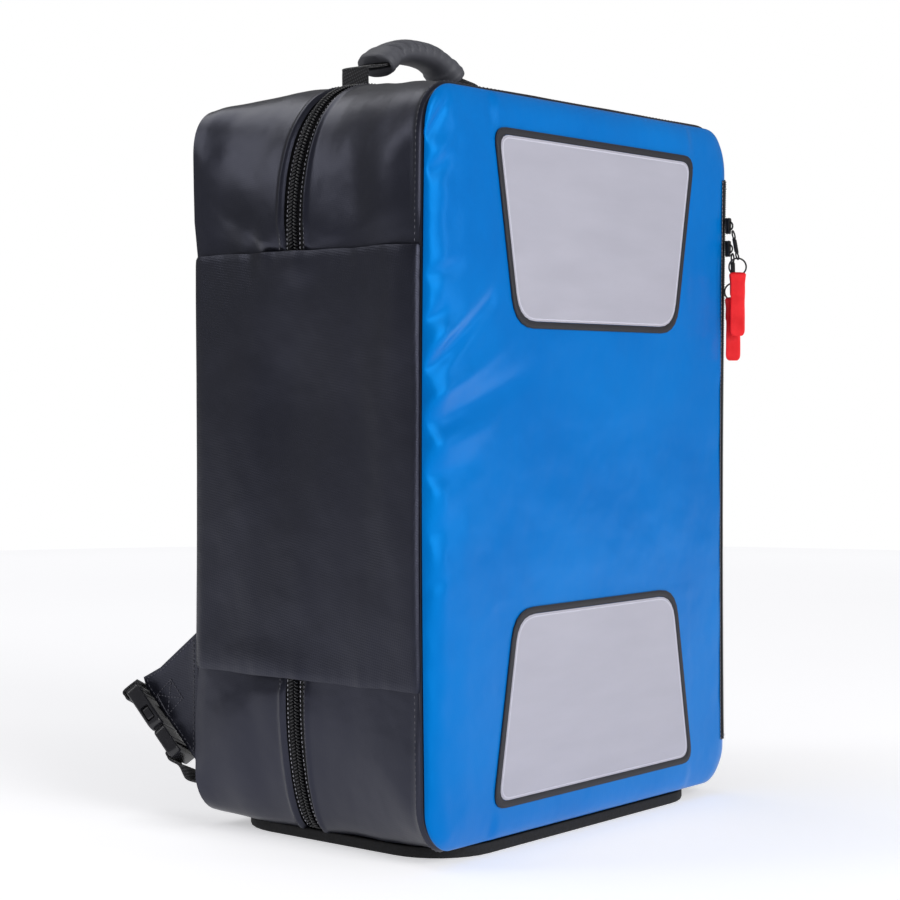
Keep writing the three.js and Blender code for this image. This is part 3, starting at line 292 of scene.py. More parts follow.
def deselect():
    """Leaves edit mode and selects nothing."""
    if bpy.context.object and bpy.context.object.mode != "OBJECT":
        bpy.ops.object.mode_set(mode="OBJECT")
    bpy.ops.object.select_all(action="DESELECT")


def activate(obj):
    """Selects one object alone, for the operators that work on it."""
    deselect()
    obj.select_set(True)
    bpy.context.view_layer.objects.active = obj
    return obj


def from_data(name, points, faces, corners=None):
    """Object from points in millimetres, its faces, and a place on the cloth for each corner."""
    mesh = bpy.data.meshes.new(name)
    mesh.from_pydata([tuple(point * MM) for point in points], [], faces)
    if corners:
        layer = mesh.uv_layers.new(name="cloth")
        for polygon, places in zip(mesh.polygons, corners):
            for loop, place in zip(polygon.loop_indices, places):
                layer.data[loop].uv = (place[0] * MM, place[1] * MM)
    obj = bpy.data.objects.new(name, mesh)
    bpy.context.collection.objects.link(obj)
    return obj


def grid(name, rows, closed=False, capped=False, centre=None):
    """Cloth through rows of points. Its faces turn away from the centre, or outwards."""
    count = len(rows[0])
    spans = count if closed else count - 1
    lengths, widths = [0.0], [0.0]
    for before, after in zip(rows, rows[1:]):
        lengths.append(lengths[-1] + (after[count // 2] - before[count // 2]).length)
    broad = rows[len(rows) // 2]
    for j in range(spans):
        widths.append(widths[-1] + (broad[(j + 1) % count] - broad[j]).length)
    faces, corners = [], []
    for i in range(len(rows) - 1):
        for j in range(spans):
            k = (j + 1) % count
            faces.append((i * count + j, (i + 1) * count + j, (i + 1) * count + k, i * count + k))
            corners.append(((lengths[i], widths[j]), (lengths[i + 1], widths[j]),
                            (lengths[i + 1], widths[j + 1]), (lengths[i], widths[j + 1])))
    if capped:
        last = (len(rows) - 1) * count
        for end in (list(range(count)), list(range(last, last + count))[::-1]):
            faces.append(tuple(end))
            corners.append([(0, 0)] * count)
    obj = from_data(name, [point for row in rows for point in row], faces, corners)
    mesh = bmesh.new()
    mesh.from_mesh(obj.data)
    if centre is None:
        bmesh.ops.recalc_face_normals(mesh, faces=mesh.faces)
    else:
        middle = centre * MM
        facing = sum(face.normal.dot(face.calc_center_median() - middle) for face in mesh.faces)
        if facing < 0:
            bmesh.ops.reverse_faces(mesh, faces=mesh.faces)
    mesh.to_mesh(obj.data)
    mesh.free()
    return obj


def modify(obj, kind, **settings):
    """Adds a modifier and applies it."""
    activate(obj)
    made = obj.modifiers.new(kind.lower(), kind)
    for key, value in settings.items():
        setattr(made, key, value)
    bpy.ops.object.modifier_apply(modifier=made.name)
    return obj


def thicken(obj, thickness):
    """Gives a cloth its thickness in millimetres, inwards."""
    return modify(obj, "SOLIDIFY", thickness=thickness * MM, offset=-1, use_even_offset=False)


def soften(obj, width, segments=2, angle=40):
    """Rounds the edges of a piece that turn by more than an angle."""
    return modify(obj, "BEVEL", width=width * MM, segments=segments, limit_method="ANGLE",
                  angle_limit=math.radians(angle))


def outline(width, thickness, power, sides):
    """Full-edged outline of a strap as offsets across and through."""
    points = []
    for side in range(sides):
        angle = 2 * math.pi * (side + 0.5) / sides
        c, s = math.cos(angle), math.sin(angle)
        points.append((math.copysign(abs(c) ** (2 / power), c) * width / 2,
                       math.copysign(abs(s) ** (2 / power), s) * thickness / 2))
    return points


def swept(name, line, across, shape, closed=False, capped=True):
    """Piece with an outline carried along a line. across and shape may differ at each place."""
    rows, count = [], len(line)
    for index, at in enumerate(line):
        if closed:
            ahead = line[(index + 1) % count] - line[index - 1]
        else:
            ahead = line[min(index + 1, count - 1)] - line[max(index - 1, 0)]
        wide = (across[index] if isinstance(across, list) else across).normalized()
        through = ahead.cross(wide).normalized()
        here = shape[index] if isinstance(shape[0], list) else shape
        rows.append([at + wide * a + through * t for a, t in here])
    if closed:
        rows.append(rows[0])
    obj = grid(name, rows, closed=True, capped=capped and not closed)
    if closed:
        modify(obj, "WELD", merge_threshold=WELD_REACH * MM)
        outward(obj)
    return obj


def outward(obj):
    """Welds a piece's doubled points and turns its faces outwards."""
    activate(obj)
    bpy.ops.object.mode_set(mode="EDIT")
    bpy.ops.mesh.select_all(action="SELECT")
    bpy.ops.mesh.remove_doubles(threshold=WELD_REACH * MM)
    bpy.ops.mesh.normals_make_consistent(inside=False)
    bpy.ops.object.mode_set(mode="OBJECT")
    return obj


def copies(name, unit, places):
    """One mesh from a small piece, repeated at places given as matrices in millimetres."""
    points, faces = [], []
    source = [(vertex.co / MM) for vertex in unit.data.vertices]
    polygons = [tuple(polygon.vertices) for polygon in unit.data.polygons]
    for place in places:
        start = len(points)
        points += [place @ point for point in source]
        faces += [tuple(start + index for index in polygon) for polygon in polygons]
    obj = from_data(name, points, faces)
    bpy.data.objects.remove(unit, do_unlink=True)
    return obj


def basis(at, x_axis, y_axis, z_axis):
    """Matrix that stands a piece at a place with its own axes along three directions."""
    turned = Matrix((x_axis.normalized(), y_axis.normalized(), z_axis.normalized())).transposed()
    return Matrix.Translation(at) @ turned.to_4x4()


def stretch(factors):
    """Stretches the object just made along its axes and settles that into its mesh."""
    bpy.ops.transform.resize(value=factors)
    bpy.ops.object.transform_apply(location=True, rotation=True, scale=True)
    return bpy.context.object


def bead(radii, segments, rings):
    """Small ball stretched to three radii in millimetres."""
    deselect()
    bpy.ops.mesh.primitive_uv_sphere_add(segments=segments, ring_count=rings, radius=MM)
    return stretch(radii)


def wire_ring(major, minor, segments, factors, at=(0, 0, 0), turn=0.0):
    """Ring of round wire in millimetres, stretched along its axes, leaned round Y by a turn."""
    deselect()
    bpy.ops.mesh.primitive_torus_add(
        major_segments=segments[0], minor_segments=segments[1], major_radius=major * MM,
        minor_radius=minor * MM, location=[value * MM for value in at], rotation=(0, turn, 0))
    return stretch(factors)


def block(name, size, at=(0, 0, 0), round_edge=0.0, segments=2, plan=0.0):
    """Rounded block from a cube: plan rounds its upright corners, round_edge all its edges."""
    deselect()
    bpy.ops.mesh.primitive_cube_add(size=1, location=[value * MM for value in at])
    obj = stretch([value * MM for value in size])
    obj.name = name
    if plan:
        bpy.ops.object.mode_set(mode="EDIT")
        bpy.ops.mesh.select_mode(type="EDGE")
        bpy.ops.mesh.select_all(action="DESELECT")
        mesh = bmesh.from_edit_mesh(obj.data)
        for edge in mesh.edges:
            a, b = edge.verts
            edge.select_set(abs(a.co.z - b.co.z) > size[2] * 0.9 * MM)
        bmesh.update_edit_mesh(obj.data)
        bpy.ops.mesh.bevel(offset=plan * MM, segments=8, profile=0.5, clamp_overlap=True)
        bpy.ops.object.mode_set(mode="OBJECT")
    if round_edge:
        soften(obj, round_edge, segments)
    return obj


def joined(name, pieces):
    """Several objects made one."""
    deselect()
    for piece in pieces:
        piece.select_set(True)
    bpy.context.view_layer.objects.active = pieces[0]
    bpy.ops.object.join()
    obj = bpy.context.object
    obj.name = name
    return obj


def cut(obj, tool):
    """Cuts a tool's shape out of a piece and drops the tool."""
    modify(obj, "BOOLEAN", object=tool, operation="DIFFERENCE", solver="EXACT")
    bpy.data.objects.remove(tool, do_unlink=True)
    return obj


def stood(obj, matrix):
    """Moves a piece's mesh to its place, given in millimetres, and leaves its object at rest."""
    scaled = matrix.copy()
    scaled.translation = matrix.translation * MM
    obj.data.transform(scaled)
    return obj


def dress(obj, material, nodes=(), angle=40):
    """Smooths a finished piece, gives it its material and ties it to the frame."""
    obj.data.materials.clear()
    obj.data.materials.append(bpy.data.materials[material])
    activate(obj)
    bpy.ops.object.shade_smooth_by_angle(angle=math.radians(angle))
    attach(obj, "root")
    if nodes:
        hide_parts(*nodes)
    return obj


def spaced(line, normals, pitch):
    """Places at a pitch along a line, each with the way ahead and the way out."""
    marks = [0.0]
    for a, b in zip(line, line[1:]):
        marks.append(marks[-1] + (b - a).length)
    index, at = 0, pitch / 2
    while at < marks[-1]:
        while marks[index + 1] < at:
            index += 1
        share = (at - marks[index]) / max(marks[index + 1] - marks[index], 1e-6)
        place = line[index].lerp(line[index + 1], share)
        normal = normals[index].lerp(normals[index + 1], share).normalized()
        yield place, (line[index + 1] - line[index]).normalized(), normal
        at += pitch


def stitches(name, line, normals, length=2.6, pitch=4.2, radius=0.32, material="Sewing thread"):
    """Row of thread stitches that lie on the cloth along a line."""
    unit = bead((length / 2, radius, radius), 6, 4)
    places = [basis(place + normal * radius * 0.3, ahead, normal.cross(ahead), normal)
              for place, ahead, normal in spaced(line, normals, pitch)]
    return dress(copies(name, unit, places), material)


def linear(code):
    """sRGB hex to the linear colour that a shader takes."""
    parts = [int(code[start:start + 2], 16) / 255 for start in (1, 3, 5)]
    turned = [c / 12.92 if c <= 0.04045 else ((c + 0.055) / 1.055) ** 2.4 for c in parts]
    return (*turned, 1.0)


def node(tree, kind, inputs=None, **settings):
    """Adds a shader node with its settings, its input values and its links."""
    made = tree.nodes.new(kind)
    for key, value in settings.items():
        setattr(made, key, value)
    for key, value in (inputs or {}).items():
        if isinstance(value, bpy.types.NodeSocket):
            tree.links.new(value, made.inputs[key])
        else:
            made.inputs[key].default_value = value
    return made


def wire(tree, shader, **inputs):
    """Links or sets inputs of the shader, named with underscores for spaces."""
    for key, value in inputs.items():
        socket = shader.inputs[key.replace("_", " ")]
        if isinstance(value, bpy.types.NodeSocket):
            tree.links.new(value, socket)
        else:
            socket.default_value = value


def object_place(tree):
    """Place on the piece in metres."""
    return node(tree, "ShaderNodeTexCoord").outputs["Object"]


def cloth_place(tree):
    """Place on the cloth as it lies flat, in metres."""
    return node(tree, "ShaderNodeUVMap", uv_map="cloth").outputs["UV"]


def new_material(name, place=object_place):
    """Empty material: its tree, its shader and the place that its textures read."""
    material = bpy.data.materials.new(name)
    material.use_nodes = True
    tree = material.node_tree
    return tree, tree.nodes["Principled BSDF"], place(tree)


def tone(tree, factor, low, high, low_at=0.0, high_at=1.0):
    """Colour between two hex values by a factor."""
    ramp = node(tree, "ShaderNodeValToRGB", {"Fac": factor})
    ramp.color_ramp.elements[0].position = low_at
    ramp.color_ramp.elements[0].color = linear(low)
    ramp.color_ramp.elements[1].position = high_at
    ramp.color_ramp.elements[1].color = linear(high)
    return ramp.outputs["Color"]


def levels(tree, factor, low, high, start=0.0, end=1.0):
    """Value from low to high as a factor goes from start to end."""
    made = node(tree, "ShaderNodeMapRange", {"Value": factor, "From Min": start, "From Max": end,
                                             "To Min": low, "To Max": high})
    return made.outputs["Result"]


def bump(tree, height, strength, distance, normal=None):
    """Bump of a distance in millimetres, over another one if that is given."""
    inputs = {"Height": height, "Strength": strength, "Distance": distance * MM}
    if normal is not None:
        inputs["Normal"] = normal
    return node(tree, "ShaderNodeBump", inputs).outputs["Normal"]


def product(tree, first, second, operation="MULTIPLY"):
    """Two values multiplied, or joined by another operation."""
    return node(tree, "ShaderNodeMath", {0: first, 1: second}, operation=operation).outputs[0]


def thread_scale(spacing):
    """Scale of a Wave texture whose bands stand a spacing in millimetres apart."""
    return 2 * math.pi / 20 / (spacing * MM)


def twill(tree, where, spacing, turn=45.0, slant=-45.0):
    """Two crossing sets of threads at a spacing in millimetres, as a height."""
    heights = []
    for angle in (turn, slant):
        turned = node(tree, "ShaderNodeMapping", {"Vector": where,
                                                  "Rotation": (math.radians(angle),) * 3})
        wave = node(tree, "ShaderNodeTexWave",
                    {"Vector": turned.outputs[0], "Scale": thread_scale(spacing),
                     "Distortion": 0.4, "Detail": 1.0, "Detail Scale": 2.0},
                    bands_direction="X")
        heights.append(wave.outputs["Fac"])
    return product(tree, *heights)


def grain(tree, where, size, detail=3.0):
    """Noise with features of a size in millimetres."""
    return node(tree, "ShaderNodeTexNoise", {"Vector": where, "Scale": 1 / (size * MM),
                                             "Detail": detail}).outputs["Fac"]


def make_tarpaulin(name, low, high, roughness, spread, thread=1.1, weave=0.10, **more):
    """PVC-coated polyester tarpaulin: the coating lies satin over a fine diagonal weave, with
    soft waves. Its threads are 0.5 mm apart, drawn at about 1.1 mm so that they show."""
    tree, shader, where = new_material(name)
    cloudy, fine = grain(tree, where, 90, 4), grain(tree, where, 7, 3)
    mixed = product(tree, product(tree, cloudy, fine, "ADD"), 0.5)
    waves = bump(tree, grain(tree, where, 34, 2), 0.34, 3)
    crushed = bump(tree, fine, 0.10, 0.5, waves)
    wire(tree, shader, Base_Color=tone(tree, cloudy, low, high, 0.3, 0.7),
         Roughness=levels(tree, mixed, roughness - spread, roughness + spread),
         Normal=bump(tree, twill(tree, where, thread), weave, 0.25, crushed),
         Specular_IOR_Level=0.5, Specular_Tint=linear("#d8dcff"))
    wire(tree, shader, **more)


def make_materials(sizes):
    """Makes every finish of the bag, named for what the real one is."""
    make_tarpaulin("Black PVC tarpaulin", "#14151c", "#1a1b24", 0.32, 0.08,
                   Coat_Weight=0.10, Coat_Roughness=0.35)
    make_tarpaulin("Black side tarpaulin", "#0f1016", "#15161d", 0.36, 0.07, 1.5, 0.30,
                   Coat_Weight=0.06, Coat_Roughness=0.4)
    make_tarpaulin("Blue PVC tarpaulin", "#0066b6", "#006fc0", 0.30, 0.05, 1.1, 0.06,
                   Specular_Tint=linear("#22a8ff"), Specular_IOR_Level=0.8)

    # Rough nylon base cloth, whose fuzz breaks the light into specks
    tree, shader, where = new_material("Base nylon")
    specks = grain(tree, where, 1.4, 5)
    wire(tree, shader, Base_Color=tone(tree, specks, "#08080a", "#1b1b20", 0.35, 0.8),
         Normal=bump(tree, specks, 0.6, 0.5), Roughness=0.85)

    # Polyamide webbing woven in a twill, with ribs 1.8 mm apart
    tree, shader, where = new_material("Polyamide webbing", cloth_place)
    ribs = twill(tree, where, 1.8, 30, -50)
    fuzz = bump(tree, grain(tree, where, 0.9, 4), 0.25, 0.2)
    wire(tree, shader, Base_Color=tone(tree, ribs, "#0c0c11", "#33333c", 0.15, 0.75),
         Normal=bump(tree, ribs, 0.8, 0.4, fuzz), Roughness=0.78, Sheen_Weight=0.25)

    # Knitted polyester zip tape, finer than the webbing
    tree, shader, where = new_material("Zip tape")
    ribs = twill(tree, where, 1.0)
    wire(tree, shader, Base_Color=tone(tree, ribs, "#0b0b0e", "#1f1f25"),
         Normal=bump(tree, ribs, 0.6, 0.3), Roughness=0.8)

    # Extruded nylon coil: smooth and glossy, with a faint drawing grain
    tree, shader, where = new_material("Nylon zip coil")
    drawn = grain(tree, where, 2.2, 2)
    wire(tree, shader, Base_Color=tone(tree, drawn, "#101013", "#1b1b20"),
         Roughness=levels(tree, drawn, 0.14, 0.26))

    # Glass-bead reflective film: pale violet grey, fine beads, faint long streaks
    tree, shader, where = new_material("Reflective film")
    beads = node(tree, "ShaderNodeTexVoronoi", {"Vector": where, "Scale": 1 / (1.3 * MM)})
    stretched = node(tree, "ShaderNodeMapping", {"Vector": where, "Scale": (0.25, 1.0, 1.0)})
    streaks = grain(tree, stretched.outputs[0], 16, 4)
    wire(tree, shader, Metallic=0.12,
         Base_Color=tone(tree, streaks, sizes.film_low, sizes.film_high, 0.35, 0.7),
         Roughness=levels(tree, streaks, 0.40, 0.52),
         Normal=bump(tree, beads.outputs["Distance"], 0.12, 0.2))

    # Raised clear rim that is welded round the film
    tree, shader, where = new_material("Film rim")
    worn = grain(tree, where, 5, 3)
    wire(tree, shader, Base_Color=tone(tree, worn, "#b4b3c1", "#c6c5d1"), Roughness=0.35)

    # Black border cloth with a satin coat
    tree, shader, where = new_material("Plate border")
    fine = grain(tree, where, 2.4, 3)
    wire(tree, shader, Base_Color=tone(tree, fine, "#17171d", "#24242c"),
         Normal=bump(tree, twill(tree, where, 0.9), 0.3, 0.2),
         Roughness=levels(tree, fine, 0.45, 0.6))

    # Moulded thermoplastic rubber: matte, with a spark-eroded grain
    tree, shader, where = new_material("Moulded rubber")
    spark, cloud = grain(tree, where, 0.9, 4), grain(tree, where, 22, 3)
    wire(tree, shader, Base_Color=tone(tree, cloud, "#4c4d54", "#5a5b62"),
         Normal=bump(tree, spark, 0.3, 0.15), Roughness=levels(tree, spark, 0.5, 0.66))

    # Acetal buckle plastic: semi-gloss, with slight flow marks
    tree, shader, where = new_material("Moulded acetal")
    flow = grain(tree, where, 9, 3)
    wire(tree, shader, Base_Color=tone(tree, flow, "#1a1a1e", "#26262b"),
         Normal=bump(tree, grain(tree, where, 1.2, 3), 0.08, 0.1),
         Roughness=levels(tree, flow, 0.20, 0.32))

    # Black lacquered zinc: gloss worn lighter in spots
    tree, shader, where = new_material("Lacquered zinc")
    worn = grain(tree, where, 1.6, 4)
    wire(tree, shader, Base_Color=tone(tree, worn, "#101013", "#2c2c32", 0.5, 0.85),
         Roughness=levels(tree, worn, 0.30, 0.48), Metallic=0.4)

    # Soft red PVC: satin, with faint clouding
    tree, shader, where = new_material("Soft red PVC")
    cloud = grain(tree, where, 9, 3)
    wire(tree, shader, Base_Color=tone(tree, cloud, "#de0f18", "#ee1f26", 0.35, 0.7),
         Normal=bump(tree, grain(tree, where, 4, 3), 0.25, 0.5),
         Roughness=levels(tree, cloud, 0.38, 0.5), Specular_IOR_Level=0.25)

    # Spun polyester thread, black over most seams; the paler copy is black thread with a painted
    # highlight, for stitches beside the coils
    for name, low, high in (("Sewing thread", "#33333b", "#6a6a74"),
                            ("Pale thread", "#8d8d98", "#c9c9d2")):
        tree, shader, where = new_material(name)
        plies = grain(tree, where, 0.8, 2)
        wire(tree, shader, Base_Color=tone(tree, plies, low, high),
             Normal=bump(tree, plies, 0.4, 0.1), Roughness=0.6)

    # Painted studio floor, even and matte, lit from within towards its far edge
    tree, shader, where = new_material("Studio floor")
    paint = tone(tree, grain(tree, where, 400, 2), sizes.floor_low, sizes.floor_high)
    away = node(tree, "ShaderNodeVectorMath", {0: where}, operation="LENGTH").outputs["Value"]
    wire(tree, shader, Base_Color=paint, Roughness=0.7, Emission_Color=linear("#fdfdff"),
         Emission_Strength=levels(tree, away, *FLOOR_GLOW, *FLOOR_GLOW_PLACE))


def hex_tone(name, use, default):
    """Property that holds a colour as sRGB hex."""
    return bpy.props.StringProperty(name=name, description=f"{use}, sRGB hex", default=default)


def light_power(name, use, default):
    """Property that holds a light's power."""
    return bpy.props.FloatProperty(name=name, description=f"Power of the {use}", default=default,
                                   min=0.0, unit="POWER")


class BagSizes(bpy.types.PropertyGroup):
    """Sizes and colours of the bag's cloth and plates."""
    floor_low: hex_tone("Floor shade", "Darker tone of the floor", "#f1f1f4")
    floor_high: hex_tone("Floor tone", "Lighter tone of the floor", "#f7f7f9")
    film_low: hex_tone("Film shade", "Darker tone of the reflective film", "#a9a8b4")
    film_high: hex_tone("Film tone", "Lighter tone of the reflective film", "#aeadb9")
    relief: bpy.props.FloatProperty(
        name="Cloth relief", description="How strongly the cloth's folds stand out", default=1.0,
        min=0.0, max=2.0, subtype="FACTOR")
    pad_swell: bpy.props.FloatProperty(
        name="Pad swell", description="How far the shoulder pads may swell", default=0.004,
        min=0.0, max=0.01, unit="LENGTH")


class BagStage(bpy.types.PropertyGroup):
    """Camera and lights."""
    lens: bpy.props.FloatProperty(
        name="Lens", description="Focal length on a 36 mm sensor", default=83.18, min=20,
        max=200, unit="CAMERA")
    distance_x: bpy.props.FloatProperty(
        name="Camera X", description="Place of the camera along X", default=-1.1691,
        unit="LENGTH")
    distance_y: bpy.props.FloatProperty(
        name="Camera Y", description="Place of the camera along Y", default=-0.9507,
        unit="LENGTH")
    height: bpy.props.FloatProperty(
        name="Camera height", description="Height of the camera above the floor",
        default=0.3033, unit="LENGTH")
    key: light_power("Key light", "large soft light before the blue front", 34.0)
    edge: light_power("Edge light", "narrow light that draws the blue edge", 5.0)
    side: light_power("Side light", "soft light beside the black side", 6.5)
    over: light_power("Top light", "soft light above", 12.0)
    world: bpy.props.FloatProperty(
        name="Surroundings", description="How strongly the white surroundings light the bag",
        default=0.2, min=0.0)


# Camera's dip below level and turn from +Y in degrees
CAMERA_DIP, CAMERA_TURN = 1.6147, -50.34

# Soft lights in metres: place, what they face, breadth and height, and the property of each
LIGHTS = (
    ("Key light", (-0.45, -2.2, 1.0), (0, -0.1, 0.28), (1.2, 1.6), "key"),
    ("Edge light", (1.0, -2.15, 0.55), (0, -0.1, 0.3), (0.5, 1.4), "edge"),
    ("Side light", (-1.6, 1.4, 1.5), (-0.15, 0, 0.35), (0.6, 1.3), "side"),
    ("Top light", (-0.2, 0.8, 2.1), (0, 0, 0.4), (1.4, 1.4), "over"),
)

# Floor in metres, and its glow from near the bag to its far edge, between two distances
FLOOR_RADIUS = 2.6
FLOOR_GLOW, FLOOR_GLOW_PLACE = (0.46, 0.7), (0.35, 2.4)


def area_light(name, place, aim, size, power):
    """Soft rectangular light that faces a place."""
    data = bpy.data.lights.new(name, "AREA")
    data.shape = "RECTANGLE"
    data.size, data.size_y = size
    data.energy = power
    lamp = bpy.data.objects.new(name, data)
    lamp.location = place
    lamp.rotation_euler = (Vector(aim) - Vector(place)).to_track_quat("-Z", "Y").to_euler()
    bpy.context.collection.objects.link(lamp)


class BACKPACK_OT_stage(bpy.types.Operator):
    """Make the camera, the soft studio light and the pale floor"""
    bl_idname = "backpack.stage"
    bl_label = "Stage"

    def execute(self, context):
        stage = context.scene.bag_stage
        data = bpy.data.cameras.new("Camera")
        data.lens, data.sensor_width = stage.lens, 36.0
        data.clip_start, data.clip_end = 0.05, 50.0
        camera = bpy.data.objects.new("Camera", data)
        camera.location = (stage.distance_x, stage.distance_y, stage.height)
        camera.rotation_euler = Euler(
            (math.radians(90 - CAMERA_DIP), 0.0, math.radians(CAMERA_TURN)), "XYZ")
        context.collection.objects.link(camera)
        context.scene.camera = camera
        for name, place, aim, size, power in LIGHTS:
            area_light(name, place, aim, size, getattr(stage, power))
        world = bpy.data.worlds.new("Studio")
        world.use_nodes = True
        tree = world.node_tree
        background = tree.nodes["Background"]
        seen = node(tree, "ShaderNodeLightPath").outputs["Is Camera Ray"]
        wire(tree, background, Color=linear("#ffffff"),
             Strength=levels(tree, seen, stage.world, 1.0))
        context.scene.world = world
        context.scene.view_settings.view_transform = "Standard"
        deselect()
        bpy.ops.mesh.primitive_circle_add(vertices=96, radius=FLOOR_RADIUS, fill_type="NGON")
        floor = context.object
        floor.name = "floor"
        floor.data.materials.append(bpy.data.materials["Studio floor"])
        return {"FINISHED"}


class BACKPACK_OT_materials(bpy.types.Operator):
    """Make the finishes of the cloth, plastic, metal and rubber"""
    bl_idname = "backpack.materials"
    bl_label = "Materials"

    def execute(self, context):
        make_materials(context.scene.bag_sizes)
        return {"FINISHED"}


# Shares of the depth where the gussets' cloths start and end, and the steps near their front
ZIP_EDGE_FRONT = ZIP_DEPTH - ZIP_OPENING / 2 / DEPTH
ZIP_EDGE_BACK = ZIP_DEPTH + ZIP_OPENING / 2 / DEPTH
HEM_STEPS, HEM_END = 0.036, 0.045
GUSSET_FRONT, GUSSET_BACK = 4.0 / DEPTH, 1 - 1.5 / DEPTH
FRONT_STEPS = (GUSSET_FRONT, 0.021, 0.024, 0.028)
ROLL_DEPTH = PIPING_PLACE / DEPTH

# Millimetres: the fold behind the roll, what is hidden under an overlay, and the turned-in edge
FOLD_PLACE, HIDDEN_SINK, EDGE_REACH = 2.2, 2.2, 1.1
BODY_CENTRE = Vector((0, 0, HEIGHT / 2))


def shell_relief(point, strength):
    """Stand-out of the gusset cloth: its folds, and the turned hem along the zip."""
    off = abs(behind(point, ZIP_DEPTH)) - ZIP_OPENING / 2
    hem = 1.2 * bell((off - 3.0) / 1.9) - 1.6 * bell(off / 1.2)
    fold = bell((behind(point, ROLL_DEPTH) - FOLD_PLACE) / 1.5)
    above, below = point.z - UPPER_SEAM, LOWER_SEAM - point.z
    dip = -1.3 * bell((above - 4) / 3.5) - bell((below - 4) / 3)
    seam = clamp((point.y - FRONT_SEAM - 5) / 8) * clamp((BACK_SEAM - 3 - point.y) / 8)
    open_share = clamp(max(above, below) / 4)
    shown = strength * side_relief(point) * seam + hem + fold + dip
    turn_in = 2.0 * bell(behind(point, GUSSET_FRONT) / EDGE_REACH)
    return shown * open_share - HIDDEN_SINK * (1 - open_share) - turn_in


class BACKPACK_OT_shell(bpy.types.Operator):
    """Loft the two gussets of the shell with the hems along the zip"""
    bl_idname = "backpack.shell"
    bl_label = "Shell"

    def execute(self, context):
        strength = context.scene.bag_sizes.relief
        front = [*FRONT_STEPS, 0.033, 0.04, 0.048,
                 *even_shares(0.06, ZIP_EDGE_FRONT - HEM_END, 20),
                 *even_shares(ZIP_EDGE_FRONT - HEM_STEPS, ZIP_EDGE_FRONT, 8)]
        back = [*even_shares(ZIP_EDGE_BACK, ZIP_EDGE_BACK + HEM_STEPS, 8),
                *even_shares(ZIP_EDGE_BACK + HEM_END, 0.94, 16), 0.955, 0.97, 0.98, GUSSET_BACK]
        for end, depths in (("front", front), ("back", back)):
            rows = [skin_points(depth) for depth in depths]
            shaped = lifted(rows, lambda point: shell_relief(point, strength))
            cloth = grid(f"gusset_{end}_cloth", shaped, centre=BODY_CENTRE)
            thicken(cloth, CLOTH)
            dress(cloth, "Black PVC tarpaulin", [f"{end}_gusset"])
        return {"FINISHED"}


def overlay_relief(point, strength):
    """Stand-out of a side overlay: its lips, puckers over the cross seams, and the covered zip."""
    upper, lower = UPPER_SEAM - point.z, point.z - LOWER_SEAM
    lip = 1.4 * bell((upper - 2.4) / 2.2) + 1.2 * bell((lower - 2.4) / 2.2)
    seam = clamp((point.y - FRONT_SEAM - 4) / 8) * clamp((BACK_SEAM - point.y) / 9)
    pucker = crumple(Vector((0, point.y, 0)), 9, 5) * (bell(upper / 14) + bell(lower / 12))
    over_zip = bell(behind(point, ZIP_DEPTH) / 12) * (bell(upper / 16) + bell(lower / 16))
    fold = 0.6 * bell((behind(point, ROLL_DEPTH) - FOLD_PLACE) / 1.8)
    start = behind(point, GUSSET_FRONT)
    ends = rise(min(start, BACK_SEAM - 2 - point.y) / 7)
    lift = lerp(0.5, 1.8, ends) - HIDDEN_SINK * bell(start / EDGE_REACH)
    return lift + fold + ends * lip + seam * (
        strength * 1.3 * side_relief(point) + pucker + over_zip)


class BACKPACK_OT_sides(bpy.types.Operator):
    """Lay the side overlays between the two cross seams"""
    bl_idname = "backpack.sides"
    bl_label = "Side overlays"

    def execute(self, context):
        strength = context.scene.bag_sizes.relief
        rows = [skin_points(depth) for depth in
                (*FRONT_STEPS, 0.034, *even_shares(0.045, 0.955, 46), 0.97, GUSSET_BACK)]
        for name, side in SIDES:
            kept = [index for index, point in enumerate(rows[0])
                    if LOWER_SEAM - 0.01 <= point.z <= UPPER_SEAM + 0.01
                    and math.copysign(1, point.x) == side]
            flat = [[line[index] for index in kept] for line in rows]
            wavy = [[point + UP * (1.2 * crumple(Vector((0, point.y, 0)), 30, 2)
                                   * bell(min(UPPER_SEAM - point.z, point.z - LOWER_SEAM) / 12))
                     for point in line] for line in flat]
            shaped = lifted(wavy, lambda point: overlay_relief(point, strength))
            cloth = grid(f"side_overlay_{name}", shaped, centre=BODY_CENTRE)
            thicken(cloth, 1.5)
            modify(cloth, "SUBSURF", levels=1, render_levels=1)
            dress(cloth, "Black side tarpaulin", [f"side_panel_{name}"])
        return {"FINISHED"}


class BACKPACK_OT_front(bpy.types.Operator):
    """Model the puffed blue front, its edge roll and the stitching beside it"""
    bl_idname = "backpack.front"
    bl_label = "Front"

    def execute(self, context):
        front = front_rows(context.scene.bag_sizes.relief)
        cloth = grid("front_cloth", front, centre=BODY_CENTRE)
        thicken(cloth, 2.5)
        dress(cloth, "Blue PVC tarpaulin", ["front_panel"])

        shape = section(0, PIPING_SET_IN + PIPING / 2 + 0.9)
        sides = profile(shape)
        start, end = sides[-1][0], sides[0][0]
        bottom = [(lerp(start, end, step / 40), shape["bottom"]) for step in range(1, 40)]
        loop = [Vector((x, skin_place(ROLL_DEPTH, z), z)) for x, z in sides + bottom]
        rolled = outline(PIPING + 0.3, PIPING + 0.2, 2.2, 12)
        roll = swept("front_roll", loop, DEPTHWISE, rolled, closed=True)
        dress(roll, "Black PVC tarpaulin", ["front_piping"])

        stitch_shown("fold_stitches", (PIPING_PLACE + FOLD_PLACE) / DEPTH, 0.95,
                     length=2.0, pitch=4.0, radius=0.22)
        return {"FINISHED"}


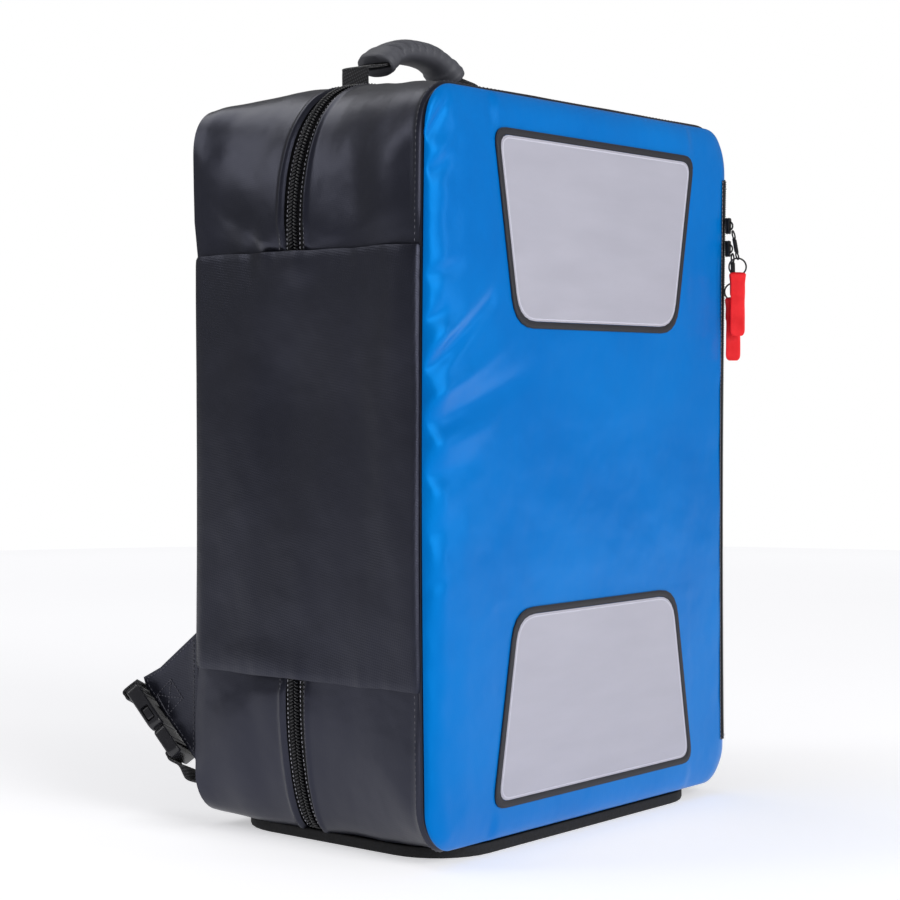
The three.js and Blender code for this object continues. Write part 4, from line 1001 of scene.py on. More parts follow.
def graded(low, high, steps):
    """Places from low to high, close together over the rounded edge at both ends."""
    edge = [EDGE_RUN * (1 - math.cos(math.pi / 2 * step / 11)) for step in range(11)]
    return ([low + share for share in edge]
            + even_shares(low + EDGE_RUN, high - EDGE_RUN, steps)
            + [high - share for share in edge[::-1]])


def front_rows(strength):
    """Grid of the blue front: a puffed edge, a flat face and the folds drawn on it."""
    shape = section(0, GAP)
    low, high = shape["bottom"], shape["top"]
    rows = []
    for z in graded(low, high, 220):
        half = half_width(shape, z)
        seam = skin_place(PANEL_RIM / DEPTH, z)
        line = []
        for x in graded(-half, half, 110):
            swell = puff(half - abs(x), EDGE_RUN) * puff(min(z - low, high - z), EDGE_RUN)
            beside = max(abs(x - PLATE_SHIFT) - PLATE_WIDE / 2 + 6, 0)
            between = max(min(PLATE_ENDS["upper"] - z, z - PLATE_ENDS["lower"]), 0)
            near_plate = clamp((beside + between) / 6)
            stand = strength * front_relief(x, z) * lerp(0.1, 1, near_plate)
            line.append(Vector((x, lerp(seam, FRONT_FACE - stand, swell), z)))
        rows.append(line)
    return rows


def puff(distance, run):
    """Quarter-round rise from an edge over a run."""
    left = 1 - clamp(distance / run)
    return math.sqrt(1 - left * left)


def half_width(shape, height):
    """Half width of a cross-section at a height."""
    from_top = clamp((height - (shape["top"] - shape["top_rise"])) / shape["top_rise"])
    from_foot = clamp((shape["bottom"] + shape["bottom_rise"] - height) / shape["bottom_rise"])
    top = shape["top_run"] * (1 - (1 - from_top ** TOP_POWER) ** (1 / TOP_POWER))
    foot = shape["bottom_run"] * (1 - (1 - from_foot ** BOTTOM_POWER) ** (1 / BOTTOM_POWER))
    return shape["half"] - top - foot - SIDE_BOW * middle_share(height)


def front_relief(x, z):
    """Folds of the blue front in millimetres, standing out."""
    across, up = x / WIDTH + 0.5, z / HEIGHT
    total = 0.0
    for x0, z0, x1, z1, breadth, out in FRONT_FOLDS:
        share = clamp((across - x0) / (x1 - x0))
        off = (up - lerp(z0, z1, share)) / (breadth * FOLD_BREADTH)
        beyond = max(0, across - x1) + max(0, x0 - across)
        fade = (1 - share * share if x1 < 0.9 else share) * bell(beyond / FOLD_FADE)
        total += FOLD_HEIGHT * out * fade * bell(off)
    point = Vector((x, 0, z))
    edge_band = bell((across - 0.03) / 0.05) + 0.5 * bell((1 - across - 0.02) / 0.04)
    return (total + 0.7 * crumple(point, 75, 1) + 0.25 * crumple(point, 22, 6)
            + 1.1 * edge_band * crumple(point, 19, 8)
            - 2.6 * (1 - rise(min(across, (1 - up) * 1.4, up * 1.4) / 0.11)))


# Back panel: soft edge, the sewn channels' heights and distance out, their breadth and depth
BACK_RUN, BACK_CHANNELS = 16.0, (150, 260, 370)
CHANNEL_OUT, CHANNEL_BREADTH, CHANNEL_DEPTH = 62, 4, 1.8
BACK_STEPS_UP, BACK_STEPS_ACROSS = 180, 120


class BACKPACK_OT_back(bpy.types.Operator):
    """Model the padded back panel with its sewn channels"""
    bl_idname = "backpack.back"
    bl_label = "Back panel"

    def execute(self, context):
        shape = section(GUSSET_BACK, CLOTH + 1.8)
        low, high = shape["bottom"], shape["top"]
        rows = []
        for i in range(BACK_STEPS_UP + 1):
            up = i / BACK_STEPS_UP
            z = lerp(low, high, rise(up) * 0.3 + up * 0.7)
            half = half_width(shape, z)
            line = []
            for j in range(BACK_STEPS_ACROSS + 1):
                share = j / BACK_STEPS_ACROSS * 2 - 1
                x = half * math.copysign(abs(share) ** 0.92, share)
                swell = puff(half - abs(x), BACK_RUN) * puff(min(z - low, high - z), BACK_RUN)
                inside = clamp((CHANNEL_OUT + 2 - abs(x)) / 6)
                channel = bell((abs(x) - CHANNEL_OUT) / CHANNEL_BREADTH) + sum(
                    bell((z - height) / CHANNEL_BREADTH) * inside for height in BACK_CHANNELS)
                relief = 0.5 * crumple(Vector((x, 0, z)), 45, 12) - CHANNEL_DEPTH * min(channel, 1)
                line.append(Vector((x, lerp(BACK_SEAM - 5, BACK_SEAM + relief * swell, swell), z)))
            rows.append(line)
        cloth = grid("back_cloth", rows, centre=BODY_CENTRE)
        thicken(cloth, 2.5)
        dress(cloth, "Black side tarpaulin", ["back_panel"])
        return {"FINISHED"}


# Tray: its length, the radius of its corners in plan, its rim's breadth and the floor's sink
TRAY_LENGTH, TRAY_CORNER, TRAY_RIM, TRAY_SINK = DEPTH - 2 - 8, 45, 2.5, 5


class BACKPACK_OT_base(bpy.types.Operator):
    """Model the tray that the bag stands on"""
    bl_idname = "backpack.base"
    bl_label = "Base"

    def execute(self, context):
        low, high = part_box("base_panel")
        middle = (Vector(low) + Vector(high)) / 2 / MM
        tray = block("base_tray", (BASE_WIDTH + 4, TRAY_LENGTH, BASE_HEIGHT),
                     (middle.x, middle.y, BASE_HEIGHT / 2), plan=TRAY_CORNER)
        activate(tray)
        bpy.ops.object.mode_set(mode="EDIT")
        mesh = bmesh.from_edit_mesh(tray.data)
        bpy.ops.mesh.select_all(action="DESELECT")
        for face in mesh.faces:
            face.select_set(face.normal.z > 0.9)
        bmesh.update_edit_mesh(tray.data)
        bpy.ops.mesh.inset(thickness=TRAY_RIM * MM, depth=0)
        bpy.ops.mesh.extrude_region_move(
            TRANSFORM_OT_translate={"value": (0, 0, -TRAY_SINK * MM)})
        bpy.ops.object.mode_set(mode="OBJECT")
        soften(tray, 1.1, 3)
        dress(tray, "Base nylon", ["base_panel"])
        return {"FINISHED"}


def skin_line(depth, raise_by=0.0):
    """Line round the skin at a share of the depth, with the skin's outward direction."""
    points = skin_points(depth)
    outwards = lifted([points, [point + DEPTHWISE for point in points]], 1.0)[0]
    normals = [(b - a).normalized() for a, b in zip(points, outwards)]
    normals = [n if n.dot(p - BODY_CENTRE) > 0 else -n for n, p in zip(normals, points)]
    return [point + normal * raise_by for point, normal in zip(points, normals)], normals


def shown_parts(line, normals):
    """The stretches of a line round the bag that the side overlays leave open."""
    parts, current = [], []
    for point, normal in zip(line, normals):
        covered = LOWER_SEAM + 1 < point.z < UPPER_SEAM - 1
        if covered and current:
            parts.append(current)
            current = []
        if not covered:
            current.append((point, normal))
    parts.append(current)
    return [tuple(zip(*part)) for part in parts if len(part) > 2]


def crossed_box(corners):
    """Points along a sewn box and its two diagonals, from its four corners."""
    order = (0, 1, 2, 3, 0, 2, 1, 3)
    return [corners[first].lerp(corners[second], step / 6)
            for first, second in zip(order, order[1:]) for step in range(6)]


def stitch_shown(name, depth, raise_by, **thread):
    """Stitches round the skin at a share of the depth, where the overlays leave it open."""
    for number, (places, outs) in enumerate(shown_parts(*skin_line(depth, raise_by))):
        stitches(f"{name}_{number}", places, outs, **thread)


def coil(name, line, normals, pitch, reach, width, height, nodes):
    """Coil zip: two rows of slanted turns that meet in the middle as a herringbone."""
    unit = bead((width / 2, reach / 2, height / 2), 8, 5)
    places = []
    for place, ahead, normal in spaced(line, normals, pitch):
        across = normal.cross(ahead).normalized()
        for side in (-1, 1):
            turned = (ahead + across * COIL_SLANT * side).normalized()
            shift = ahead * (pitch / 2 if side > 0 else 0)
            places.append(basis(place + shift + across * side * reach * 0.40, turned,
                                normal.cross(turned), normal))
    return dress(copies(name, unit, places), "Nylon zip coil", nodes, angle=60)


# Slant of a coil's turns, the main tape's width, and the stitch rows beside the main coil:
# distance out, height over the skin, and thread
COIL_SLANT, TAPE_WIDTH = 0.42, 28
# The near rows use the thread copy with a painted highlight
ZIP_ROWS = (("near", 5.9, -1.35, 0.34, "Pale thread"), ("far", 11.2, 0.75, 0.26, "Sewing thread"))


class BACKPACK_OT_main_zip(bpy.types.Operator):
    """Lay the main coil zip, its tape and stitching, with the two sliders on top"""
    bl_idname = "backpack.main_zip"
    bl_label = "Main zip"

    def execute(self, context):
        low, high = (ZIP_DEPTH + share * TAPE_WIDTH / DEPTH for share in (-0.5, 0.5))
        rows = [skin_points(depth) for depth in even_shares(low, high, 6)]
        tape = grid("main_zip_cloth", lifted(rows, -2.6), centre=BODY_CENTRE)
        thicken(tape, 1.0)
        dress(tape, "Zip tape", ["main_zip_tape"])
        for number, (places, outs) in enumerate(shown_parts(*skin_line(ZIP_DEPTH, -1.2))):
            raised = [p + n * (1.2 if p.z > UPPER_SEAM + 12 else 0.1)
                      for p, n in zip(places, outs)]
            coil(f"main_coil_{number}", raised, outs, 2.3, 5.2, 1.7, 2.6,
                 ["main_zip_coil"] if number == 0 else ())
        for side, letter in ((-1, "a"), (1, "b")):
            for label, off, raise_by, radius, material in ZIP_ROWS:
                stitch_shown(f"zip_stitches_{label}_{letter}", ZIP_DEPTH + side * off / DEPTH,
                             raise_by, length=1.9, pitch=3.1, radius=radius, material=material)
        for name, side in SIDES:
            low, high = (Vector(corner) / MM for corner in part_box(f"main_slider_{name}"))
            at = Vector(((low.x + high.x) / 2, (low.y + high.y) / 2, low.z))
            ahead = Vector((side, 0, 0))
            make_slider(f"main_slide_{name}", basis(at, ahead.cross(UP), ahead, UP),
                        f"main_slider_{name}")
            rest = Vector((high.x if side > 0 else low.x, at.y, low.z + 1.4))
            head = rest + ahead * (GAP + 24)
            make_puller(f"main_pull_{name}", basis(head, ahead.cross(UP), ahead, UP),
                        f"main_puller_{name}")
        return {"FINISHED"}


def make_slider(name, matrix, replaced):
    """Zip slider: a waisted body with raised edges and a bridge for its puller."""
    body = block(name, (8, 12, 1.2), (0, 0, 0.9), plan=2.2)
    roof = block(name + "_roof", (8, 12, 1.1), (0, 0, 2.8), plan=2.2)
    for piece in (body, roof):
        for vertex in piece.data.vertices:
            vertex.co.x *= 0.68 + 0.32 * clamp(vertex.co.y / (6 * MM) * 0.5 + 0.5)
    neck = block(name + "_neck", (2.2, 4.2, 1.2), (0, 2.6, 1.9))
    bridge = wire_ring(2.6, 0.65, (20, 8), (1.5, 1.15, 0.95), (0, 0, 2.9), math.pi / 2)
    whole = joined(name, [body, roof, neck, bridge])
    soften(whole, 0.3, angle=50)
    return dress(stood(whole, matrix), "Lacquered zinc", [replaced])


def make_puller(name, matrix, replaced):
    """Puller: two open loops with a ribbed tongue between them."""
    pieces = [block(name, (5.6, 11, 1.3), (0, -12.5, 0), round_edge=0.4, plan=0.8)]
    pieces += [block(f"{name}_rib_{step}", (4.2, 0.9, 1.9), (0, -16.2 + step * 1.9, 0),
                     round_edge=0.3) for step in range(5)]
    pieces += [wire_ring(2.2, 0.62, (24, 8), (1.0, tall / 2.8, 1.0), (0, place, 0))
               for place, tall in ((-3.9, 4.1), (-20.6, 3.4))]
    return dress(stood(joined(name, pieces), matrix), "Lacquered zinc", [replaced])


POCKET_LOW, POCKET_HIGH, POCKET_STEPS = 41.0, 461.0, 140
POCKET_HEIGHTS = even_shares(POCKET_LOW, POCKET_HIGH, POCKET_STEPS)
POCKET_SLIDERS = {"upper": 427.0, "lower": 410.0}

# Rows of the pocket tape: distance in from the side and height over the cloth
POCKET_TAPE = ((10.6, 0.5), *((off, 0.95) for off in (10.1, 9, 7.5, 6, 4.5, 3, 1.8)), (0.8, 0.5))


def edge_place(off, height, raise_by=0.0):
    """Place on the front's rounded right-hand edge at a distance in from the side."""
    seam, left = skin_place(PANEL_RIM / DEPTH, height), 1 - off / EDGE_RUN
    out = Vector((left / EDGE_RUN, -puff(off, EDGE_RUN) / (seam - FRONT_FACE), 0)).normalized()
    half = half_width(section(0, GAP), height)
    place = Vector((half - off, lerp(seam, FRONT_FACE, puff(off, EDGE_RUN)), height))
    return place + out * raise_by


def pocket_line(share):
    """Line of the pocket zip up the right-hand edge of the front, and its outward direction."""
    points, outs = [], []
    for z in POCKET_HEIGHTS:
        inner, edge = edge_place(0.7 * EDGE_RUN, z), edge_place(0.4 * EDGE_RUN, z)
        across = (edge - inner).normalized()
        points.append(inner.lerp(edge, share))
        outs.append(across.cross(UP).normalized())
    outs = [out if out.y < 0 else -out for out in outs]
    return points, outs


class BACKPACK_OT_pocket_zip(bpy.types.Operator):
    """Lay the pocket zip with its tape, bar tacks and edge stitching"""
    bl_idname = "backpack.pocket_zip"
    bl_label = "Pocket zip"

    def execute(self, context):
        rows = [[edge_place(off, z, raise_by) for z in POCKET_HEIGHTS]
                for off, raise_by in POCKET_TAPE]
        tape = grid("pocket_zip_cloth", rows, centre=BODY_CENTRE)
        thicken(tape, 0.7)
        dress(tape, "Zip tape", ["pocket_zip_tape"])
        points, outs = pocket_line(0.5)
        coil("pocket_coil", [p + n * 1.5 for p, n in zip(points, outs)], outs, 1.7, 2.7, 1.2, 1.3,
             ["pocket_zip_coil"])
        seam, sides = pocket_line(-0.16)
        # Edge stitching in the thread copy with a painted highlight
        stitches("pocket_stitches", [p + n * 0.7 for p, n in zip(seam, sides)], sides, 1.7, 3.0,
                 0.22, "Pale thread")
        for number, index in enumerate((1, POCKET_STEPS - 2)):
            at, out = points[index], outs[index]
            across = UP.cross(out).normalized()
            tack = [at + across * lerp(-2.3, 2.3, step / 8) + out * 1.8 for step in range(9)]
            stitches(f"pocket_tack_{number}", tack, [out] * 9, 3.6, 0.62, 0.3)
        return {"FINISHED"}


RING_AXIS = Vector((0.77, 0.638, 0)).normalized()
RING_ACROSS = Vector((0.638, -0.77, 0)).normalized()
RING_RADIUS, PULLER_LENGTH = 6.4, 22.5

# How far each pull leans across its ring and swings along it
PULLS = (("upper", 0.13, -0.32), ("lower", 0.03, 0.02))

# Red strip from the flap's end over the ring to the tongue's tip: out, up, and width
TAB_FLAP = ((1.0, -15.0, 9.6), (1.1, -14.2, 11), (1.2, -10, 11.2), (1.4, -5.5, 11))
TAB_FOLD = tuple((2.0 * math.cos(a), 2.0 * math.sin(a) - 0.2, 9.4 + 2.6 * abs(math.cos(a)))
                 for a in (0.1, 0.6, 1.1, 1.57, 2.05, 2.55, 3.0))
TAB_TONGUE = ((-1.3, -5.5, 10.8), (-0.9, -12, 11), (-0.8, -20, 10.7), (-0.8, -28, 10.9),
              (-0.85, -36, 11), (-0.8, -41, 11), (-0.8, -43.6, 9.6), (-0.8, -45.1, 6.4))


class BACKPACK_OT_pulls(bpy.types.Operator):
    """Hang the pocket zip's sliders, pullers, rings and soft red tabs"""
    bl_idname = "backpack.pulls"
    bl_label = "Pocket pulls"

    def execute(self, context):
        points, outs = pocket_line(0.5)
        for name, lean, swing in PULLS:
            share = (POCKET_SLIDERS[name] - POCKET_LOW) / (POCKET_HIGH - POCKET_LOW) * POCKET_STEPS
            at, out = points[round(share)], outs[round(share)]
            at = at + UP * (POCKET_SLIDERS[name] - at.z)
            seat = at + out * 2.6
            side = UP.cross(out).normalized()
            make_slider(f"pocket_slide_{name}", basis(seat, side, UP, out),
                        f"pocket_slider_{name}")
            hang = (-UP + RING_AXIS * swing + RING_ACROSS * lean).normalized()
            head = seat + out * 5.4 - UP * 3.3
            facing = Matrix.Rotation(-0.6, 3, "Z") @ RING_ACROSS
            wide = hang.cross(facing).normalized()
            make_puller(f"pocket_pull_{name}", basis(head, wide, -hang, wide.cross(-hang)),
                        f"pocket_puller_{name}")
            ring = head + hang * PULLER_LENGTH - UP * RING_RADIUS
            circle = wire_ring(RING_RADIUS, 0.62, (40, 10), (1, 1, 1.25))
            circle.name = f"split_ring_{name}"
            stood(circle, basis(ring, RING_ACROSS, UP, RING_ACROSS.cross(UP)))
            dress(circle, "Lacquered zinc", [f"pocket_ring_{name}"])
            hook = ring - UP * RING_RADIUS
            self.make_tab(name, basis(hook, RING_ACROSS, UP.cross(RING_ACROSS), UP))
        return {"FINISHED"}

    def make_tab(self, name, matrix):
        """Soft strip folded over the ring: a short flap behind, a long tongue in front."""
        rows = []
        stations = [Vector(row) for row in TAB_FLAP + TAB_FOLD + TAB_TONGUE]
        for y, z, width in smooth_line(stations, 4):
            sag = 0.5 * crumple(Vector((0, y * 3, z)), 9, 4 if name == "upper" else 14)
            ring = []
            for wide, thick in outline(width, 1.25, 3, 20):
                curl = 0.35 * (wide / 5.5) ** 2 * (1 if y > 0 else -1)
                ring.append(Vector((wide + sag * 0.4, y + thick + sag * 0.5 + curl, z)))
            rows.append(ring)
        rows = self.turned(rows)
        tab = grid(f"red_tab_{name}", [[matrix @ p for p in row] for row in rows], closed=True,
                   capped=True)
        modify(tab, "SUBSURF", levels=1, render_levels=1)
        dress(tab, "Soft red PVC", [f"pocket_tab_{name}"], angle=60)

    @staticmethod
    def turned(rows):
        """Turns each ring of the strip square to the strip's own line."""
        middles = [sum(row, Vector()) / len(row) for row in rows]
        made = []
        for index, (row, middle) in enumerate(zip(rows, middles)):
            ahead = (middles[min(index + 1, len(rows) - 1)] - middles[max(index - 1, 0)])
            ahead.x = 0
            ahead.normalize()
            through = Vector((1, 0, 0)).cross(ahead)
            made.append([middle + Vector((p.x - middle.x, 0, 0)) + through * (
                (p.y - middle.y) * (-1 if through.y < 0 and abs(ahead.z) > 0.3 else 1))
                for p in row])
        return made


GRIP_CREST, GRIP_END, GRIP_SPAN, HANDLE_DEPTH = 552.6, 538.0, 82.0, 55.0
GRIP_WIDTH, GRIP_HEIGHT, GRIP_SIDES, GRIP_STEPS = 30, 18, 40, 150
GROOVE_PITCH, GROOVE_DEPTH, GROOVE_END = 8.2, 2.9, 0.74
TUNNEL_WIDTH, TUNNEL_HEIGHT = 28, 3.9

# Where the handle's webbing rises from the bag and folds, and the sewn box on each foot
WEBBING_RISE = (62, 532)
FOOT_BOX = ((88, -10.5), (66, -10.5), (66, 10.5), (88, 10.5))

# Breadth and height of the grip at shares of its half length
GRIP = ((0, 1, 1), (0.3, 1, 1), (0.55, 0.98, 0.96), (0.72, 0.98, 0.98), (0.8, 1.06, 1.08),
        (1, 1.08, 1.1))


def grip_point(out):
    """Middle of the grip at a share of its half length, from -1 to 1."""
    drop = (GRIP_CREST - GRIP_END) * abs(out) ** 2.6
    return Vector((out * GRIP_SPAN / 2, HANDLE_DEPTH, GRIP_CREST - drop))


def grip_frame(out):
    """Middle of the grip at a share of its half length, and the way up through it there."""
    ahead = (grip_point(out + 0.004) - grip_point(out - 0.004)).normalized()
    return grip_point(out), ahead.cross(DEPTHWISE).normalized()


def grip_ring(out):
    """Outline of the grip at a share of its half length, with its slanted finger grooves."""
    at, through = grip_frame(out)
    from_end = (1 - abs(out)) * GRIP_SPAN / 2
    edge = 1 - 0.09 * (1 - math.sqrt(1 - (1 - min(1, from_end / 1.6)) ** 2))
    lip = 0.5 * bell((from_end - 3.2) / 0.8)
    wide, high = GRIP_WIDTH * grip_scale(out, 1), GRIP_HEIGHT * grip_scale(out, 2)
    inside = clamp((GROOVE_END - abs(out)) / 0.05)
    ring = []
    for a, t in outline(wide * edge, high * edge, 2.3, GRIP_SIDES):
        upper = clamp(t / (high / 2) * 1.6 + 0.25)
        groove = (0.5 + 0.5 * math.cos(2 * math.pi * (at.x + a * 0.5) / GROOVE_PITCH)) ** 5
        reach = Vector((0, a, t)).normalized()
        sink = GROOVE_DEPTH * groove * upper * inside - lip
        ring.append(at + DEPTHWISE * (a - reach.y * sink) + through * (t - reach.z * sink))
    return ring


def tunnel_ring(out):
    """Outline of the webbing's tunnel through the grip, flared at its mouths."""
    at, through = grip_frame(out)
    flare = 1 + 0.06 * bell((1 - abs(out)) * GRIP_SPAN / 2 / 1.5)
    return [at + DEPTHWISE * a * flare + through * t * flare * 1.3
            for a, t in outline(TUNNEL_WIDTH, TUNNEL_HEIGHT, 5, GRIP_SIDES)]


def grip_scale(out, column):
    """Value of a column of GRIP at a share of the half length."""
    share = abs(out)
    for before, after in zip(GRIP, GRIP[1:]):
        if share <= after[0]:
            return lerp(before[column], after[column],
                        rise((share - before[0]) / (after[0] - before[0])))
    return GRIP[-1][column]


class BACKPACK_OT_handle(bpy.types.Operator):
    """Mould the grip with its slanted finger grooves and run the webbing through it"""
    bl_idname = "backpack.handle"
    bl_label = "Handle"

    def execute(self, context):
        shares = even_shares(-1, 1, GRIP_STEPS)
        rows = [grip_ring(out) for out in shares] + [tunnel_ring(out) for out in shares[::-1]]
        grip = grid("grip_rubber", rows + [rows[0]], closed=True)
        outward(grip)
        dress(grip, "Moulded rubber", ["handle_grip"], angle=50)
        self.run_webbing()
        return {"FINISHED"}

    def run_webbing(self):
        """Runs the webbing from one sewn foot through the grip to the other."""
        depth = HANDLE_DEPTH / DEPTH + 0.5
        behind_it, at, before = (section(depth + off * WEBBING_WIDTH / 2 / DEPTH)["top"]
                                 for off in (1, 0, -1))
        tilted = Vector((0, WEBBING_WIDTH, behind_it - before)).normalized()
        foot = at + 1.4
        rise_x, fold_z = WEBBING_RISE
        half = [(90, foot, tilted), (78, foot, tilted), (67, foot, tilted),
                (rise_x + 0.8, foot + 2.6, tilted), (rise_x, foot + 8, DEPTHWISE),
                (rise_x, fold_z, DEPTHWISE), (rise_x - 2, fold_z + 3, DEPTHWISE)]
        inside = [(grip_point(row).x, grip_point(row).z, DEPTHWISE)
                  for row in (-0.99, -0.8, -0.55, -0.3, 0, 0.3, 0.55, 0.8, 0.99)]
        path = [(-x, z, a) for x, z, a in half] + inside + half[::-1]
        line = smooth_line([Vector((x, HANDLE_DEPTH, z)) for x, z, _ in path], 8)
        across = smooth_line([a.copy() for _, _, a in path], 8)
        strap = swept("handle_webbing", line, across,
                      outline(WEBBING_WIDTH, WEBBING_THICKNESS, 6, 16))
        dress(strap, "Polyamide webbing", ["handle_strap"])
        for name, side in SIDES:
            points = crossed_box([Vector((side * x, HANDLE_DEPTH, foot + 0.75)) + tilted * y
                                  for x, y in FOOT_BOX])
            stitches(f"foot_stitches_{name}", points, [UP] * len(points), 2.2, 3.2, 0.3)


# Rims round each plate: distance in from its edge, half their height, breadth, finish and slot
PLATE_RIMS = (("rim", 6.4, 0.30, 1.1, "Film rim", "reflective"),
              ("edge", 2.2, 0.35, 3.6, "Plate border", "plate_edge"))


class BACKPACK_OT_plates(bpy.types.Operator):
    """Finish the reflective plates and weld a clear rim round each"""
    bl_idname = "backpack.plates"
    bl_label = "Reflective plates"

    def execute(self, context):
        for name, direction in (("upper", 1), ("lower", -1)):
            for node_name, material in ((f"plate_{name}", "Reflective film"),
                                        (f"plate_border_{name}", "Plate border")):
                for held in bpy.data.objects[node_name].material_slots:
                    held.material = bpy.data.materials[material]
            for label, inset, proud, breadth, finish, slot in PLATE_RIMS:
                line = [point - DEPTHWISE * (1.05 + proud * 0.2)
                        for point in plate_line(inset, direction, PLATE_ENDS[name])]
                ahead = [line[(index + 1) % len(line)] - line[index - 1]
                         for index in range(len(line))]
                rim = swept(f"plate_{label}_{name}", line,
                            [way.cross(DEPTHWISE).normalized() for way in ahead],
                            outline(breadth, proud * 2, 2, 8), closed=True)
                dress(rim, finish)
        return {"FINISHED"}


def plate_line(inset, direction, end):
    """Line round a plate at a distance in from its outer edge."""
    slope = (PLATE_WIDE - PLATE_NARROW) / 2 / PLATE_HEIGHT
    shift = inset * math.hypot(1, slope)
    corners = []
    for side, height, radius in ((-1, inset, NARROW_CORNER), (1, inset, NARROW_CORNER),
                                 (1, PLATE_HEIGHT - inset, WIDE_CORNER),
                                 (-1, PLATE_HEIGHT - inset, WIDE_CORNER)):
        half = PLATE_NARROW / 2 + slope * height - shift
        corners.append((Vector((side * half, 0, height)), radius - inset / 2))
    line = []
    for index, (at, radius) in enumerate(corners):
        before, after = corners[index - 1][0], corners[(index + 1) % 4][0]
        start = at + (before - at).normalized() * radius
        end_point = at + (after - at).normalized() * radius
        line += [start * (1 - t) ** 2 + at * 2 * t * (1 - t) + end_point * t * t
                 for t in even_shares(0, 1, 8)]
    return [Vector((PLATE_SHIFT + point.x * direction, FRONT_FACE, end + point.z * direction))
            for point in line]


# Anchor wing: corners as shares of its reach and height, then its rings as shares of the way
# out with half their thickness, the ring that the hem runs on, and the sewn box's corners
WING = ((0, 1), (0.69, 0.69), (1, 0.6), (0.95, 0.53), (0, 0))
WING_RINGS = ((1.0, 0.45), (0.985, 1.1), (0.9, 1.25), (0.84, 1.0), (0.80, 0.8), (0.6, 0.85),
              (0.35, 0.9), (0.02, 0.9))
WING_HEM, WING_BOX = 0.84, ((240, 100), (254, 88), (243, 75), (228, 88))


class BACKPACK_OT_wings(bpy.types.Operator):
    """Cut the two anchor wings, hem them and sew their boxes"""
    bl_idname = "backpack.wings"
    bl_label = "Anchor wings"

    def execute(self, context):
        for name, side in SIDES:
            x = side * (WIDTH / 2 - 5 - 1.25)
            corners = [Vector((x, WING_START + b * WING_REACH, WING_BOTTOM + u * WING_HEIGHT))
                       for b, u in WING]
            middle = sum(corners, Vector()) / len(corners)
            rim = [a.lerp(b, step / 14) for a, b in zip(corners, corners[1:] + corners[:1])
                   for step in range(14)]
            out = Vector((side, 0, 0))
            rows = []
            for face in (1, -1):
                rings = []
                for share, half in WING_RINGS[::-face]:
                    placed = [middle.lerp(point, share) for point in rim]
                    rings.append([at + out * face * half
                                  + Vector((0.5 * crumple(at, 26, 7) * (1 - share), 0, 0))
                                  for at in placed])
                rows += rings
            cloth = grid(f"wing_cloth_{name}", rows, closed=True, capped=True)
            outward(cloth)
            dress(cloth, "Black side tarpaulin", [f"wing_{name}"])
            hem = [middle.lerp(point, WING_HEM) + out * 1.15 for point in rim + rim[:1]]
            stitches(f"wing_hem_{name}", hem, [out] * len(hem), 2.6, 3.6, 0.3)
            box = crossed_box([Vector((x + side * 1.1, y - DEPTH / 2, z)) for y, z in WING_BOX])
            stitches(f"wing_box_{name}", box, [out] * len(box), 2.2, 3.2, 0.32)
        return {"FINISHED"}


# Buckle: width, each half's length and thickness, the plug's middle, and the webbing's slots
BUCKLE_WIDTH, SOCKET_LENGTH, SOCKET_THICKNESS = 33, 38, 10
PLUG_LENGTH, PLUG_THICKNESS, PLUG_PLACE = 24, 9, -13
SLOT_SIZE, SOCKET_SLOT, PLUG_SLOT = (26.5, 5, 20), 31.5, -18.5
BUCKLE_TOP = (-WIDTH / 2 + 7, WING_START + WING_REACH + 7.2, WING_BOTTOM + WING_HEIGHT * 0.49)


def mirrored(side, x, y, z):
    """Place or direction on the left, or its mirror image on the right."""
    return Vector((x if side < 0 else -x, y, z))


def buckle_frame(side):
    """Directions of a buckle and the place of its socket's mouth."""
    down = mirrored(side, 0.02, -0.72, -0.69).normalized()
    rough = mirrored(side, 0.86, 0.35, -0.36)
    across = (rough - down * rough.dot(down)).normalized()
    length = -down
    through = across.cross(length)
    mouth = mirrored(side, *BUCKLE_TOP) + down * SOCKET_LENGTH
    return {"across": across, "length": length, "through": through,
            "outward": through * side, "mouth": mouth}


def beside_buckle(at, lengthwise, off):
    """Place beside a buckle, from its socket's mouth up its length and out from its middle."""
    return at["mouth"] + at["length"] * lengthwise + at["outward"] * off


